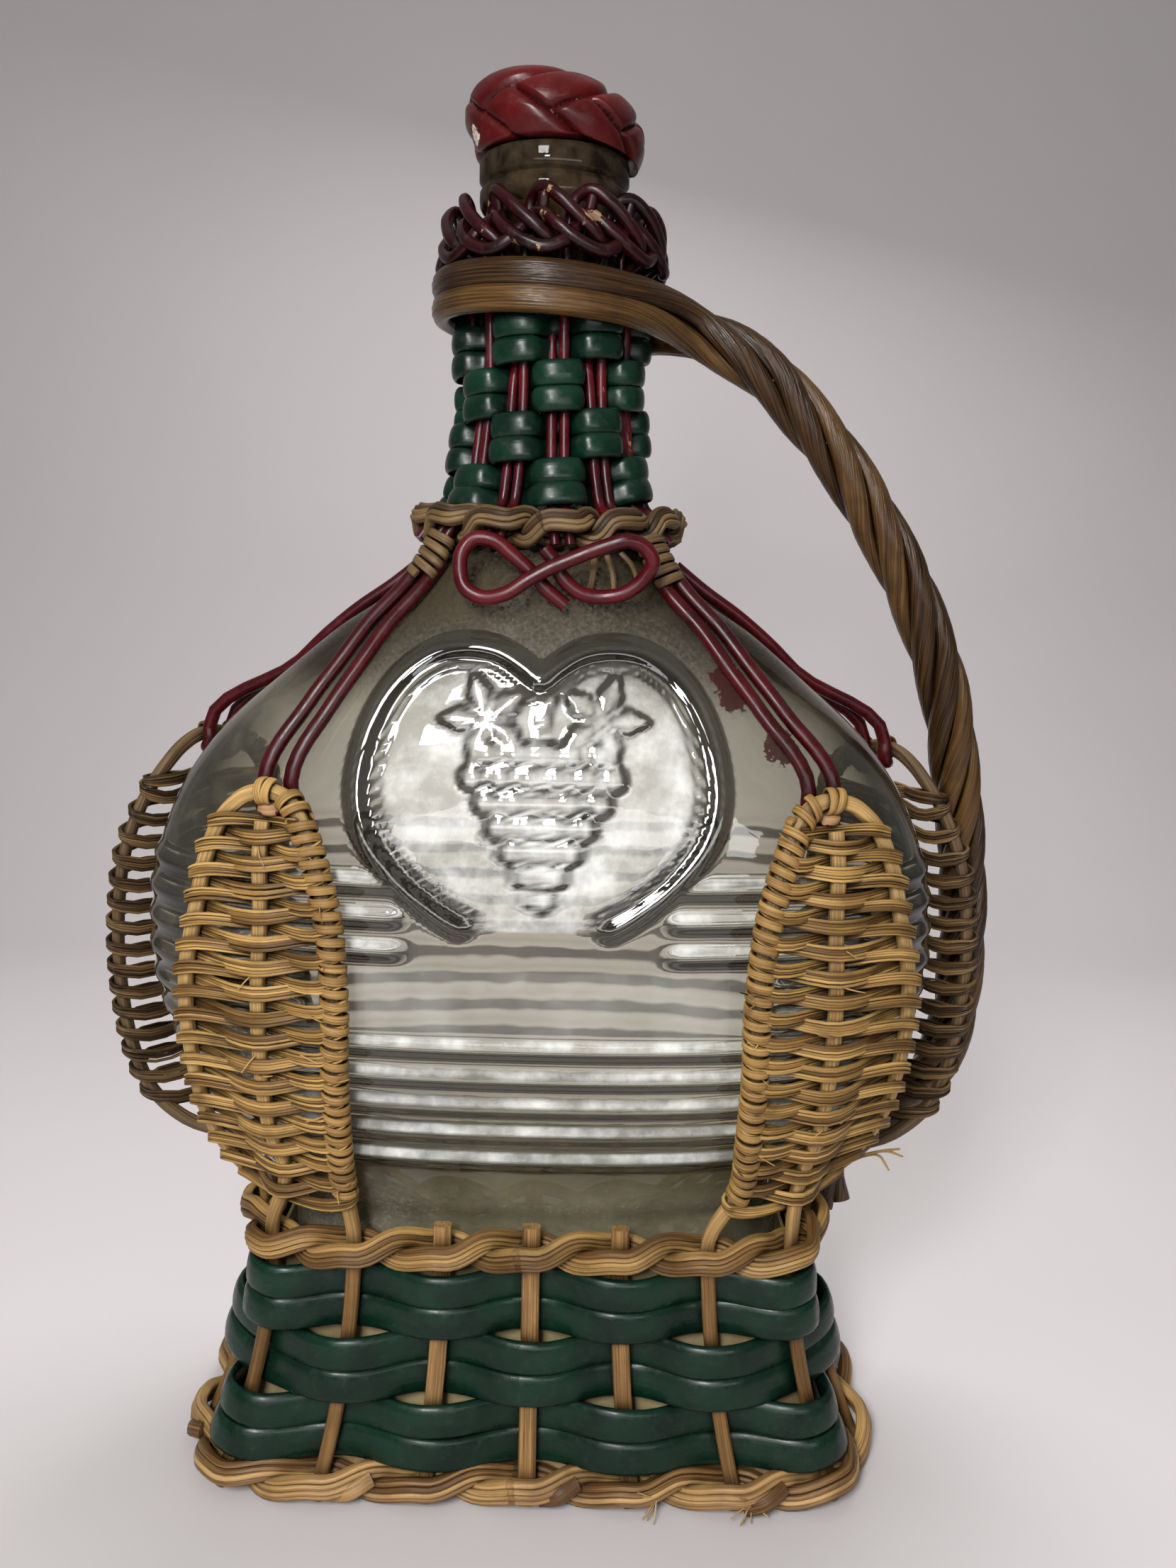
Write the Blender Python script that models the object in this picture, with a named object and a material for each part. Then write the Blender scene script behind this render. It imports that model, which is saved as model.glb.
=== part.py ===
"""Wicker-covered flask carafe with a stopper and a twisted cane handle.

A flat clear-glass flask stands in a low basket of dark green strips on cane stakes.
Twelve of the stakes run on above the rim as the frames of four woven cane panels,
which hang from the neck on red hairpin rods. A green and red sleeve is woven round
the neck, and four cane legs, slung round it, twist into the handle at the right.
Metres, +Z up, front towards -Y, origin at the middle of the base board's underside.
"""
import math

import bmesh
import bpy
from mathutils import Vector

for old_object in list(bpy.data.objects):
    bpy.data.objects.remove(old_object, do_unlink=True)

# Clearances
SEAT_GAP = 0.0003            # between pieces that rest on each other
WEAVE_GAP = 0.00035          # between a strand and what it bends round
CREST_EASE = 0.0007          # extra lift of a ribbon where its slanted runs pass a rod

# Glass flask
BODY_HALF_WIDTH = 0.0880
BODY_HALF_DEPTH = 0.0400
BODY_WIDEST_Z = 0.1220
FOOT_HALF_WIDTH = 0.0570
FOOT_HALF_DEPTH = 0.0245
HEEL_RADIUS = 0.0050
NECK_RADIUS = 0.0145
NECK_START_Z = 0.2350
FINISH_LIFT = 0.0135         # from the sleeve's top up to the finish
FINISH_HEIGHT = 0.0110
FINISH_RADIUS = 0.0159
BORE_RADIUS = 0.0094
BORE_LENGTH = 0.0400
BODY_WALL = 0.0030
BOTTOM_WALL = 0.0060
BODY_SQUARENESS = 2.5        # power of the body's outline, 2 is an ellipse
ROUND_POWER = 2.0
GLASS_SEGMENTS = 24
RIB_COUNT = 10
RIB_PITCH = 0.00685
FIRST_RIB_Z = 0.0781
RIB_RELIEF = 0.0009
LOWER_RIBS = 5               # whole ribs below the smooth front band
BAND_RIBS = 2                # ribs that the front band interrupts
BAND_HALF_WIDTH = 0.0460
HEART_FIELD_HALF_WIDTH = 0.0250

# Heart ridge on the front
HEART_HALF_WIDTH = 0.0365
HEART_TOP_Z = 0.1875
HEART_BOTTOM_Z = 0.1310
RIDGE_WIDTH = 0.0050
RIDGE_RELIEF = 0.0012

# Base board
BOARD_THICKNESS = 0.0042

# Basket wall: stakes, strips, liner, rim and foot strands
STAKE_COUNT = 18
STAKE_RADIUS = 0.0015
STAKE_SIDES = 5
STAKE_FOOT_Z = 0.0008
RIM_Z = 0.0570
RIM_CORNER_RADIUS = 0.0170
SHORT_STAKE_STAND = 0.0020   # how far a cut stake stands above the rim strands
FOOT_FLARE = 0.0142
FOOT_FLARE_DEPTH = 0.0055
FOOT_FLARE_CORNER = 0.0040
FLARE_POWER = 1.8
STRIP_HEIGHT = 0.0069
STRIP_THICKNESS = 0.0024
STRIP_ROWS = 3
ROW_GAP = 0.0005
LINER_THICKNESS = 0.0007
LINER_GAP = 0.0009
CORNER_STEPS = 4
STRAND_SIDES = 4
RIM_STRAND_RADIUS = 0.0017
FOOT_STRAND_RADIUS = 0.0018

# Woven panels
PANEL_STAND_OFF = 0.0054
FRONT_ARCH_Z = 0.1565
FRONT_SHIFT_SHARE = 0.030    # both front panels sit a little to the right
BACK_ARCH_Z = 0.1630
WEAVER_THICKNESS = 0.0013
WEAVE_ROWS = 13
TURN_SHARE = 0.6             # how far out a ribbon still is beside its end rod
ROW_CLEARANCE = 0.0005
FRONT_WEAVE_ABOVE_RIM = 0.0100
BACK_WEAVE_ABOVE_RIM = 0.0145
WEAVE_STOP_BELOW_ARCH = 0.0085
ROD_STOP_BELOW_ARCH = 0.0060

# Neck sleeve
COLUMN_COUNT = 13
HAIRPIN_COLUMN_COUNT = 2     # columns between a hairpin's two legs
NECK_ROD_RADIUS = 0.00115
NECK_ROD_SPACING = 0.00265
NECK_STRIP_HEIGHT = 0.0043
NECK_ROW_GAP = 0.0008
NECK_ROD_SIDES = 4
SLEEVE_LIFT = 0.0014
NECK_STRIP_THICKNESS = 0.0014
SLEEVE_TOP_Z = 0.2635
BORDER_LIFT = 0.0030
BORDER_REACH = 0.0055
BORDER_RISE = 0.0110

# Collar, hangers and bow
COLLAR_Z = 0.2095
COLLAR_STRAND_RADIUS = 0.0016
HANGER_RADIUS = 0.0014
HANGER_SPACING = 0.0060
HANGER_ROOT_SPACING = 0.0042
HANGER_EASE = 0.0008
BOW_RADIUS = 0.0014
BOW_HALF_WIDTH = 0.0190
BOW_HEIGHT = 0.0125
BOW_BASE_Z = 0.1963
BOW_SHIFT = 0.0020
BOW_TUCK = 0.0037            # how far the bow lies in under the swell of the collar

# Handle
CANE_RADIUS = 0.0022
LAY_RADIUS = 0.0036
TWIST_TURNS = 3.5
ROPE_STATIONS = 26
ROUTE_STEPS = 8              # a stretch, where the handle's route is measured
SLING_HALF_GAP = math.radians(52)     # from the handle to where the slings leave the neck
SLING_STEPS = 12
SLING_EASE = 0.0006
SLING_DROP = 0.0031
SLING_LEAN_SLOPE = 0.06      # slope of the slings, which sit lower toward the handle
HANDLE_STAND_OUT = 0.0032    # from the widest back rod out to the handle's middle
HANDLE_SET_BACK = 0.0190
HANDLE_STAKE_NUMBER = 5.45   # place round the rim, counted in stakes from the front
HANDLE_FOOT_Z = 0.0430

# Stopper
CORK_CLEARANCE = 0.0003
CORK_LENGTH = 0.0250
CAP_RADIUS = 0.0190
CAP_HEIGHT = 0.0160
CAP_LEAN_SLOPE = 0.13        # slope of the cap, which sits askew and lower on the right
CAP_LOBES = 7
CAP_RELIEF = 0.0013
CAP_SEGMENTS = 42
CORK_SEGMENTS = 16

# Half widths and depths of the shoulder, as shares of what the body has over the neck,
# against the share of the way from the widest level up to the neck
SHOULDER_SHARES = (
    (0.000, 1.000, 1.000), (0.115, 0.989, 0.992), (0.221, 0.946, 0.961),
    (0.327, 0.864, 0.890), (0.425, 0.741, 0.784), (0.513, 0.585, 0.647),
    (0.602, 0.422, 0.490), (0.655, 0.300, 0.400), (0.717, 0.181, 0.294),
    (0.761, 0.116, 0.216), (0.805, 0.069, 0.145), (0.867, 0.031, 0.071),
    (0.956, 0.007, 0.016), (1.000, 0.000, 0.000),
)
FLARE_SHARES = (0.09, 0.17)
INNER_FLARE_SHARES = (0.0, 0.14, 0.34, 0.62, 1.0)
INNER_SHOULDER_SHARES = (0.24, 0.42, 0.56, 0.68, 0.80, 0.92)
# Lip profile: share of the finish height, share of its step out from the neck
FINISH_SHARES = ((0.00, 0.00), (0.13, 0.86), (0.38, 0.92), (0.50, 0.30), (0.60, 1.00), (0.90, 1.00))
LIP_EDGE_SHARE = 0.55
LINER_LEVEL_SHARES = (0.0, 0.25, 0.5, 0.75, 1.0)
STAKE_LEVEL_SHARES = (0.0, 0.22, 0.48, 0.8, 1.0)
# Heart outline, right half, from the cusp to the open lower end
HEART_SHARES = (
    (0.00, 0.880), (0.10, 0.935), (0.24, 0.985), (0.42, 1.000), (0.60, 0.975), (0.78, 0.890),
    (0.91, 0.760), (0.985, 0.600), (1.00, 0.450), (0.93, 0.300), (0.76, 0.160), (0.57, 0.060),
    (0.42, 0.000),
)
# Front panel: share of the height from rim to arch, then outer and inner rod as shares of
# the glass's half width at that height
FRONT_PANEL_SHARES = (
    (0.18, 0.950, 0.592), (0.30, 0.910, 0.538), (0.43, 0.861, 0.500), (0.62, 0.824, 0.473),
    (0.77, 0.796, 0.490), (0.88, 0.789, 0.536), (0.955, 0.770, 0.588),
)
FRONT_ARCH_SHARES = ((0.987, 0.740), (1.0, 0.684), (0.987, 0.628))
# Back panel: height share, then for the side rod, the centre rod and the rear rod how far it
# has left its stake, as shares of the body's growth beyond the foot in width and in depth
BACK_PANEL_SHARES = (
    (0.066, 0.234, -0.065, 0.155, 0.071, 0.108, 0.113),
    (0.115, 0.745, -0.181, 0.438, 0.071, 0.420, 0.281),
    (0.180, 0.978, -0.233, 0.651, 0.046, 0.667, 0.358),
    (0.280, 1.114, -0.272, 0.807, -0.006, 0.860, 0.376),
    (0.420, 1.191, -0.292, 0.907, -0.058, 0.980, 0.358),
    (0.600, 1.199, -0.298, 0.941, -0.084, 1.031, 0.314),
    (0.770, 1.108, -0.272, 0.898, -0.096, 1.008, 0.216),
    (0.900, 0.921, -0.104, 0.844, -0.251, 1.051, -0.042),
)
# Its arch: height share, place between the outer stakes, then the same shares
BACK_ARCH_SHARES = ((0.970, 0.25, 0.958, -0.159), (1.0, 0.5, 0.987, -0.112), (0.970, 0.75, 0.973, 0.065))
# Neck rods above the collar, as shares of the way to the straight neck
ROD_EASE_SHARES = (0.06, 0.30, 0.62, 1.0)
# Hairpin arch of the neck border: share of the way, share of the reach, share of the rise
BORDER_SHARES = (
    (0.00, 0.00, 0.00), (0.03, 0.00, 0.50), (0.10, 0.14, 0.88), (0.24, 0.50, 1.00), (0.44, 0.86, 0.80),
    (0.64, 1.00, 0.50), (0.82, 1.00, 0.24), (0.95, 0.78, 0.04), (1.00, 0.20, -0.20),
)
# Hangers, from the collar down: share of the height down to the arch, share of the half width
FRONT_HANGER_SHARES = (
    (0.03, 0.80), (0.15, 0.765), (0.30, 0.735), (0.46, 0.715), (0.66, 0.70), (0.90, 0.685),
)
HOOK_SHARES = (0.9, 0.6, 1.15)        # how a hanger's hook closes: width, depth and drop
BACK_HANGER_SHARES = ((0.03, 0.93), (0.16, 0.945), (0.30, 0.95), (0.45, 0.95), (0.60, 0.945))
# Handle route: share of the way out from the neck, or lower down from the rim, to the full
# reach, share of the set-back, share of the rise from rim to sling
HANDLE_UPPER_SHARES = (
    (0.182, 0.00, 0.970), (0.355, 0.00, 0.932), (0.535, 0.03, 0.850), (0.630, 0.06, 0.792),
    (0.744, 0.14, 0.712), (0.856, 0.34, 0.606), (0.928, 0.66, 0.499), (0.965, 0.88, 0.430),
)
HANDLE_LOWER_SHARES = (
    (0.974, 0.98, 0.365), (1.000, 1.00, 0.290), (0.987, 1.04, 0.190), (0.872, 1.12, 0.110),
    (0.654, 1.18, 0.060),
)
# Bow, from the collar's middle round both loops to the cut end: x share, height share, layer
BOW_SHARES = (
    (-0.10, 0.86, 0.0), (0.00, 0.68, 0.0), (0.10, 0.40, 0.0), (0.28, 0.17, 0.0),
    (0.52, 0.10, 0.0), (0.80, 0.20, 0.2), (0.98, 0.45, 0.4), (1.05, 0.68, 0.6),
    (0.96, 0.90, 0.8), (0.78, 1.00, 1.0), (0.60, 0.93, 1.0), (0.40, 0.82, 1.0),
    (0.18, 0.68, 1.0), (-0.05, 0.53, 1.0), (-0.26, 0.35, 1.0), (-0.50, 0.12, 1.0),
    (-0.75, 0.06, 0.8), (-0.93, 0.22, 0.6), (-0.98, 0.48, 0.4), (-0.96, 0.78, 0.2),
    (-0.85, 0.98, 0.0), (-0.62, 0.96, 0.0), (-0.44, 0.75, 0.0), (-0.25, 0.50, 0.0),
    (-0.08, 0.22, 0.0), (0.14, -0.05, 0.0),
)
# Cap profile: shares of the cap's radius, its height, the plait's relief and its lean
CAP_SHARES = (
    (0.60, 0.00, 0.0, 0.0), (0.868, 0.00, 0.0, 0.0), (0.93, 0.05, 0.4, 1.0), (1.00, 0.28, 0.9, 1.0),
    (0.985, 0.50, 1.0, 1.0), (0.90, 0.70, 1.0, 1.0), (0.72, 0.85, 0.8, 1.0), (0.48, 0.94, 0.4, 1.0),
    (0.24, 0.985, 0.0, 1.0),
)
CAP_SKEW_SHARE = 1.6         # how far the plait's grooves lean away from its middle line
CAP_STEP_SHARE = 0.5         # and how far the upper half of the plait is turned on the lower
CORK_SHARES = ((0.9, 0.0), (1.0, 0.1), (1.0, 1.0))

# Colours, roughness and kind of each finish
FINISHES = {
    "glass": ((0.80, 0.84, 0.80), 0.05, 1.0),
    "cork": ((0.52, 0.36, 0.20), 0.80, 0.0),
    "red": ((0.36, 0.02, 0.02), 0.22, 0.0),
    "wood": ((0.50, 0.35, 0.19), 0.70, 0.0),
    "card": ((0.45, 0.34, 0.13), 0.70, 0.0),
    "green": ((0.008, 0.055, 0.034), 0.28, 0.0),
    "stake": ((0.30, 0.18, 0.08), 0.60, 0.0),
    "rim": ((0.36, 0.23, 0.10), 0.60, 0.0),
    "straw": ((0.47, 0.32, 0.14), 0.65, 0.0),
    "maroon": ((0.14, 0.008, 0.014), 0.25, 0.0),
    "collar": ((0.20, 0.12, 0.06), 0.65, 0.0),
    "handle": ((0.25, 0.14, 0.05), 0.45, 0.0),
}

UP = Vector((0.0, 0.0, 1.0))
FRONT = -1.0
BACK = 1.0


# Values that follow from the sizes above
BOTTLE_BASE_Z = BOARD_THICKNESS + SEAT_GAP
STRIP_SWING = STAKE_RADIUS + STRIP_THICKNESS / 2 + WEAVE_GAP
STRIP_FLAT = STAKE_RADIUS + WEAVE_GAP
LINER_FACE = STRIP_SWING + STRIP_THICKNESS / 2 + LINER_GAP
WALL_STAND_OFF = LINER_FACE + LINER_THICKNESS + SEAT_GAP
RIM_SWING = STAKE_RADIUS + RIM_STRAND_RADIUS + WEAVE_GAP
FOOT_SWING = STAKE_RADIUS + FOOT_STRAND_RADIUS + WEAVE_GAP
COLLAR_SWING = NECK_ROD_RADIUS + COLLAR_STRAND_RADIUS + WEAVE_GAP
NECK_STRIP_SWING = NECK_ROD_RADIUS + NECK_STRIP_THICKNESS / 2 + WEAVE_GAP
NECK_STAND_OFF = NECK_STRIP_SWING + NECK_STRIP_THICKNESS / 2 + SEAT_GAP
COLLAR_STAND_OFF = COLLAR_SWING + COLLAR_STRAND_RADIUS + SEAT_GAP


def twine_lift(swing, radius):
    """Height of a strand's crossing over its partner, so that the two clear each other."""
    need = 2 * radius + WEAVE_GAP
    across = 2 * swing
    return need * across / math.sqrt(across * across - need * need) / 2


RIM_LIFT = twine_lift(RIM_SWING, RIM_STRAND_RADIUS)
FOOT_LIFT = twine_lift(FOOT_SWING, FOOT_STRAND_RADIUS)
COLLAR_LIFT = twine_lift(COLLAR_SWING, COLLAR_STRAND_RADIUS)
FOOT_RING_Z = SEAT_GAP + FOOT_LIFT + FOOT_STRAND_RADIUS
STRIPS_BOTTOM_Z = FOOT_RING_Z + FOOT_LIFT + FOOT_STRAND_RADIUS + SEAT_GAP
RIM_TOP_Z = RIM_Z + RIM_LIFT + RIM_STRAND_RADIUS
GLASS_FLARE_Z = RIM_TOP_Z + SEAT_GAP
ROW_PITCH = 2 * STRIP_HEIGHT + WEAVE_GAP + ROW_GAP
FINISH_START_Z = SLEEVE_TOP_Z + FINISH_LIFT
FINISH_TOP_Z = FINISH_START_Z + FINISH_HEIGHT
CAP_BASE_Z = FINISH_TOP_Z + SEAT_GAP
NECK_PITCH = 2 * (NECK_STRIP_HEIGHT + NECK_ROW_GAP)
BORDER_Z = SLEEVE_TOP_Z + BORDER_LIFT
SLING_UPPER_Z = SLEEVE_TOP_Z - SLING_DROP
SLING_LOWER_Z = SLING_UPPER_Z - 2 * CANE_RADIUS - WEAVE_GAP
SLEEVE_FACE = NECK_RADIUS + NECK_STAND_OFF + NECK_STRIP_SWING + NECK_STRIP_THICKNESS / 2
SLING_RADIUS = SLEEVE_FACE + SLING_EASE + CANE_RADIUS
COLLAR_BOTTOM_Z = COLLAR_Z - COLLAR_LIFT - COLLAR_STRAND_RADIUS
COLLAR_TOP_Z = COLLAR_Z + COLLAR_LIFT + COLLAR_STRAND_RADIUS
SLEEVE_START_Z = COLLAR_TOP_Z + SLEEVE_LIFT + NECK_PITCH / 4 + NECK_STRIP_HEIGHT / 2


def blend_rows(rows, key):
    """Reads the other columns of rows at a key, on a smooth curve through them."""
    last = len(rows) - 1
    place = 0
    while place < last - 1 and key > rows[place + 1][0]:
        place += 1
    p0, p1 = rows[max(place - 1, 0)], rows[place]
    p2, p3 = rows[place + 1], rows[min(place + 2, last)]
    span = p2[0] - p1[0]
    t = min(max((key - p1[0]) / span, 0.0), 1.0)
    values = []
    for column in range(1, len(p1)):
        low_slope = (p2[column] - p0[column]) / max(p2[0] - p0[0], span) * span
        high_slope = (p3[column] - p1[column]) / max(p3[0] - p1[0], span) * span
        values.append((2 * t ** 3 - 3 * t ** 2 + 1) * p1[column] + (t ** 3 - 2 * t ** 2 + t) * low_slope
                      + (3 * t ** 2 - 2 * t ** 3) * p2[column] + (t ** 3 - t ** 2) * high_slope)
    return values


def smooth_path(points, steps):
    """Points of a smooth curve through the given ones, so many steps in each stretch."""
    path = []
    for i in range(len(points) - 1):
        p1, p2 = points[i], points[i + 1]
        p0 = points[i - 1] if i > 0 else p1
        p3 = points[i + 2] if i + 2 < len(points) else p2
        for k in range(steps):
            t = k / steps
            path.append(0.5 * (2 * p1 + (p2 - p0) * t + (2 * p0 - 5 * p1 + 4 * p2 - p3) * t ** 2
                               + (3 * p1 - 3 * p2 + p3 - p0) * t ** 3))
    path.append(points[-1].copy())
    return path


def finish_material(name, finish):
    """A Principled material with the finish's colour and roughness."""
    colour, roughness, clear = FINISHES[finish]
    material = bpy.data.materials.new(name + "_finish")
    material.use_nodes = True
    shader = material.node_tree.nodes["Principled BSDF"]
    shader.inputs["Base Color"].default_value = (*colour, 1.0)
    shader.inputs["Roughness"].default_value = roughness
    shader.inputs["Metallic"].default_value = 0.0
    shader.inputs["Transmission Weight"].default_value = clear
    return material


def add_object(name, shape, finish, smooth=True):
    """Turns a bmesh into the named object with its own material."""
    bmesh.ops.recalc_face_normals(shape, faces=shape.faces)
    mesh = bpy.data.meshes.new(name)
    shape.to_mesh(mesh)
    shape.free()
    if smooth:
        mesh.shade_smooth()
        mesh.set_sharp_from_angle(angle=math.radians(50))
    piece = bpy.data.objects.new(name, mesh)
    bpy.context.scene.collection.objects.link(piece)
    mesh.materials.append(finish_material(name, finish))
    return piece


def loft(shape, rings, closed=False):
    """Joins rings of points with faces, and caps the ends unless the rings close up."""
    rows = [[shape.verts.new(point) for point in ring] for ring in rings]
    count = len(rows[0])
    pairs = list(zip(rows, rows[1:]))
    if closed:
        pairs.append((rows[-1], rows[0]))
    for low, high in pairs:
        for i in range(count):
            j = (i + 1) % count
            shape.faces.new((low[i], low[j], high[j], high[i]))
    if not closed:
        shape.faces.new(rows[0])
        shape.faces.new(rows[-1])


def sweep(shape, path, outward, section, closed=False):
    """Sweeps a section along a path. Its second axis follows the outward directions."""
    rings = []
    last = len(path) - 1
    for i, point in enumerate(path):
        after = path[(i + 1) % len(path)] if closed or i < last else point
        before = path[i - 1] if closed or i > 0 else point
        ahead = (after - point).normalized() if after is not point else Vector()
        behind = (point - before).normalized() if before is not point else Vector()
        along = (ahead + behind).normalized()
        normal = outward[i] - along * outward[i].dot(along)
        normal.normalize()
        side = along.cross(normal)
        rings.append([point + side * u + normal * v for u, v in section])
    loft(shape, rings, closed)


def round_section(radius, sides):
    """A regular outline of a round cane."""
    turns = [2 * math.pi * (i + 0.5) / sides for i in range(sides)]
    return [(radius * math.cos(turn), radius * math.sin(turn)) for turn in turns]


def flat_section(width, thickness):
    """A four-cornered ribbon."""
    return [(width / 2, thickness / 2), (-width / 2, thickness / 2),
            (-width / 2, -thickness / 2), (width / 2, -thickness / 2)]


def carried_normals(path, first):
    """Directions across an open path that turn with it as little as they can."""
    normals = []
    normal = first
    for i, point in enumerate(path):
        after = path[min(i + 1, len(path) - 1)]
        before = path[max(i - 1, 0)]
        along = (after - before).normalized()
        normal = (normal - along * normal.dot(along)).normalized()
        normals.append(normal)
    return normals


# The glass outline

def glass_size(z):
    """Half width, half depth and squareness of the plain glass outline at a height."""
    if z <= GLASS_FLARE_Z:
        return FOOT_HALF_WIDTH, FOOT_HALF_DEPTH, BODY_SQUARENESS
    if z <= BODY_WIDEST_Z:
        rise = (z - GLASS_FLARE_Z) / (BODY_WIDEST_Z - GLASS_FLARE_Z)
        share = math.sin(math.pi / 2 * rise) ** 0.85
        return (FOOT_HALF_WIDTH + share * (BODY_HALF_WIDTH - FOOT_HALF_WIDTH),
                FOOT_HALF_DEPTH + share * (BODY_HALF_DEPTH - FOOT_HALF_DEPTH), BODY_SQUARENESS)
    if z >= NECK_START_Z:
        return NECK_RADIUS, NECK_RADIUS, ROUND_POWER
    rise = (z - BODY_WIDEST_Z) / (NECK_START_Z - BODY_WIDEST_Z)
    wide, deep = blend_rows(SHOULDER_SHARES, rise)
    return (NECK_RADIUS + wide * (BODY_HALF_WIDTH - NECK_RADIUS),
            NECK_RADIUS + deep * (BODY_HALF_DEPTH - NECK_RADIUS),
            ROUND_POWER + deep * (BODY_SQUARENESS - ROUND_POWER))


def outline_point(angle, half_width, half_depth, power):
    """Point of a rounded oval at an angle, seen from above."""
    c, s = math.cos(angle), math.sin(angle)
    return (half_width * math.copysign(abs(c) ** (2 / power), c),
            half_depth * math.copysign(abs(s) ** (2 / power), s))


def glass_normal(x, y, z):
    """Outward direction of the glass near a point."""
    step = RIB_PITCH / 10

    def level(px, py, pz):
        wide, deep, power = glass_size(pz)
        return (abs(px) / wide) ** power + (abs(py) / deep) ** power

    slope = Vector((level(x + step, y, z) - level(x - step, y, z),
                    level(x, y + step, z) - level(x, y - step, z),
                    level(x, y, z + step) - level(x, y, z - step)))
    return slope.normalized()


def on_glass(share, z, stand_off, side, hand=1.0):
    """A point off the front or back of the glass, at a share of its half width."""
    wide, deep, power = glass_size(z)
    x = hand * share * wide
    y = side * deep * (1 - min(abs(share), 0.9999) ** power) ** (1 / power)
    normal = glass_normal(x, y, z)
    return Vector((x, y, z)) + normal * stand_off, normal


def glass_at(x, z, stand_off, side):
    """The same, at a distance from the middle."""
    wide = glass_size(z)[0]
    return on_glass(abs(x) / wide, z, stand_off, side, math.copysign(1.0, x))


def rib_relief(x, y, z):
    """How far the moulded ribs stand out. The front leaves a smooth band and the heart's field."""
    top_z = FIRST_RIB_Z + (RIB_COUNT - 1) * RIB_PITCH
    if z < FIRST_RIB_Z - RIB_PITCH / 2 or z > top_z + RIB_PITCH / 2:
        return 0.0
    band_z = FIRST_RIB_Z + (LOWER_RIBS - 0.5) * RIB_PITCH
    field_z = band_z + BAND_RIBS * RIB_PITCH
    if y < 0 and band_z < z < field_z and abs(x) < BAND_HALF_WIDTH:
        return 0.0
    if y < 0 and z >= field_z and abs(x) < HEART_FIELD_HALF_WIDTH:
        return 0.0
    return RIB_RELIEF * (0.5 + 0.5 * math.cos(2 * math.pi * (z - FIRST_RIB_Z) / RIB_PITCH))


def glass_ring(z, inset=0.0, relief=True):
    """One ring of the bottle's outside or inside."""
    wide, deep, power = glass_size(z)
    ring = []
    for i in range(GLASS_SEGMENTS):
        angle = 2 * math.pi * (i + 0.5) / GLASS_SEGMENTS
        x, y = outline_point(angle, wide - inset, deep - inset, power)
        out = rib_relief(x, y, z) if relief else 0.0
        length = math.hypot(x / wide, y / deep)
        ring.append(Vector((x + out * x / wide / length, y + out * y / deep / length, z)))
    return ring


def circle_ring(radius, z):
    """A round ring with the bottle's number of segments."""
    turns = [2 * math.pi * (i + 0.5) / GLASS_SEGMENTS for i in range(GLASS_SEGMENTS)]
    return [Vector((radius * math.cos(turn), radius * math.sin(turn), z)) for turn in turns]


def heart_ridge():
    """The raised outline of the open-bottomed heart, swept over the front of the glass."""
    left = [(-share_x, share_z) for share_x, share_z in reversed(HEART_SHARES[1:])]
    path, outward = [], []
    for share_x, share_z in left + list(HEART_SHARES):
        z = HEART_BOTTOM_Z + share_z * (HEART_TOP_Z - HEART_BOTTOM_Z)
        point, normal = glass_at(share_x * HEART_HALF_WIDTH, z, 0.0, FRONT)
        path.append(point)
        outward.append(normal)
    top = RIDGE_WIDTH / 4
    section = [(RIDGE_WIDTH / 2, -RIDGE_RELIEF), (top, RIDGE_RELIEF), (-top, RIDGE_RELIEF),
               (-RIDGE_WIDTH / 2, -RIDGE_RELIEF)]
    shape = bmesh.new()
    sweep(shape, path, outward, section)
    return shape


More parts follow.
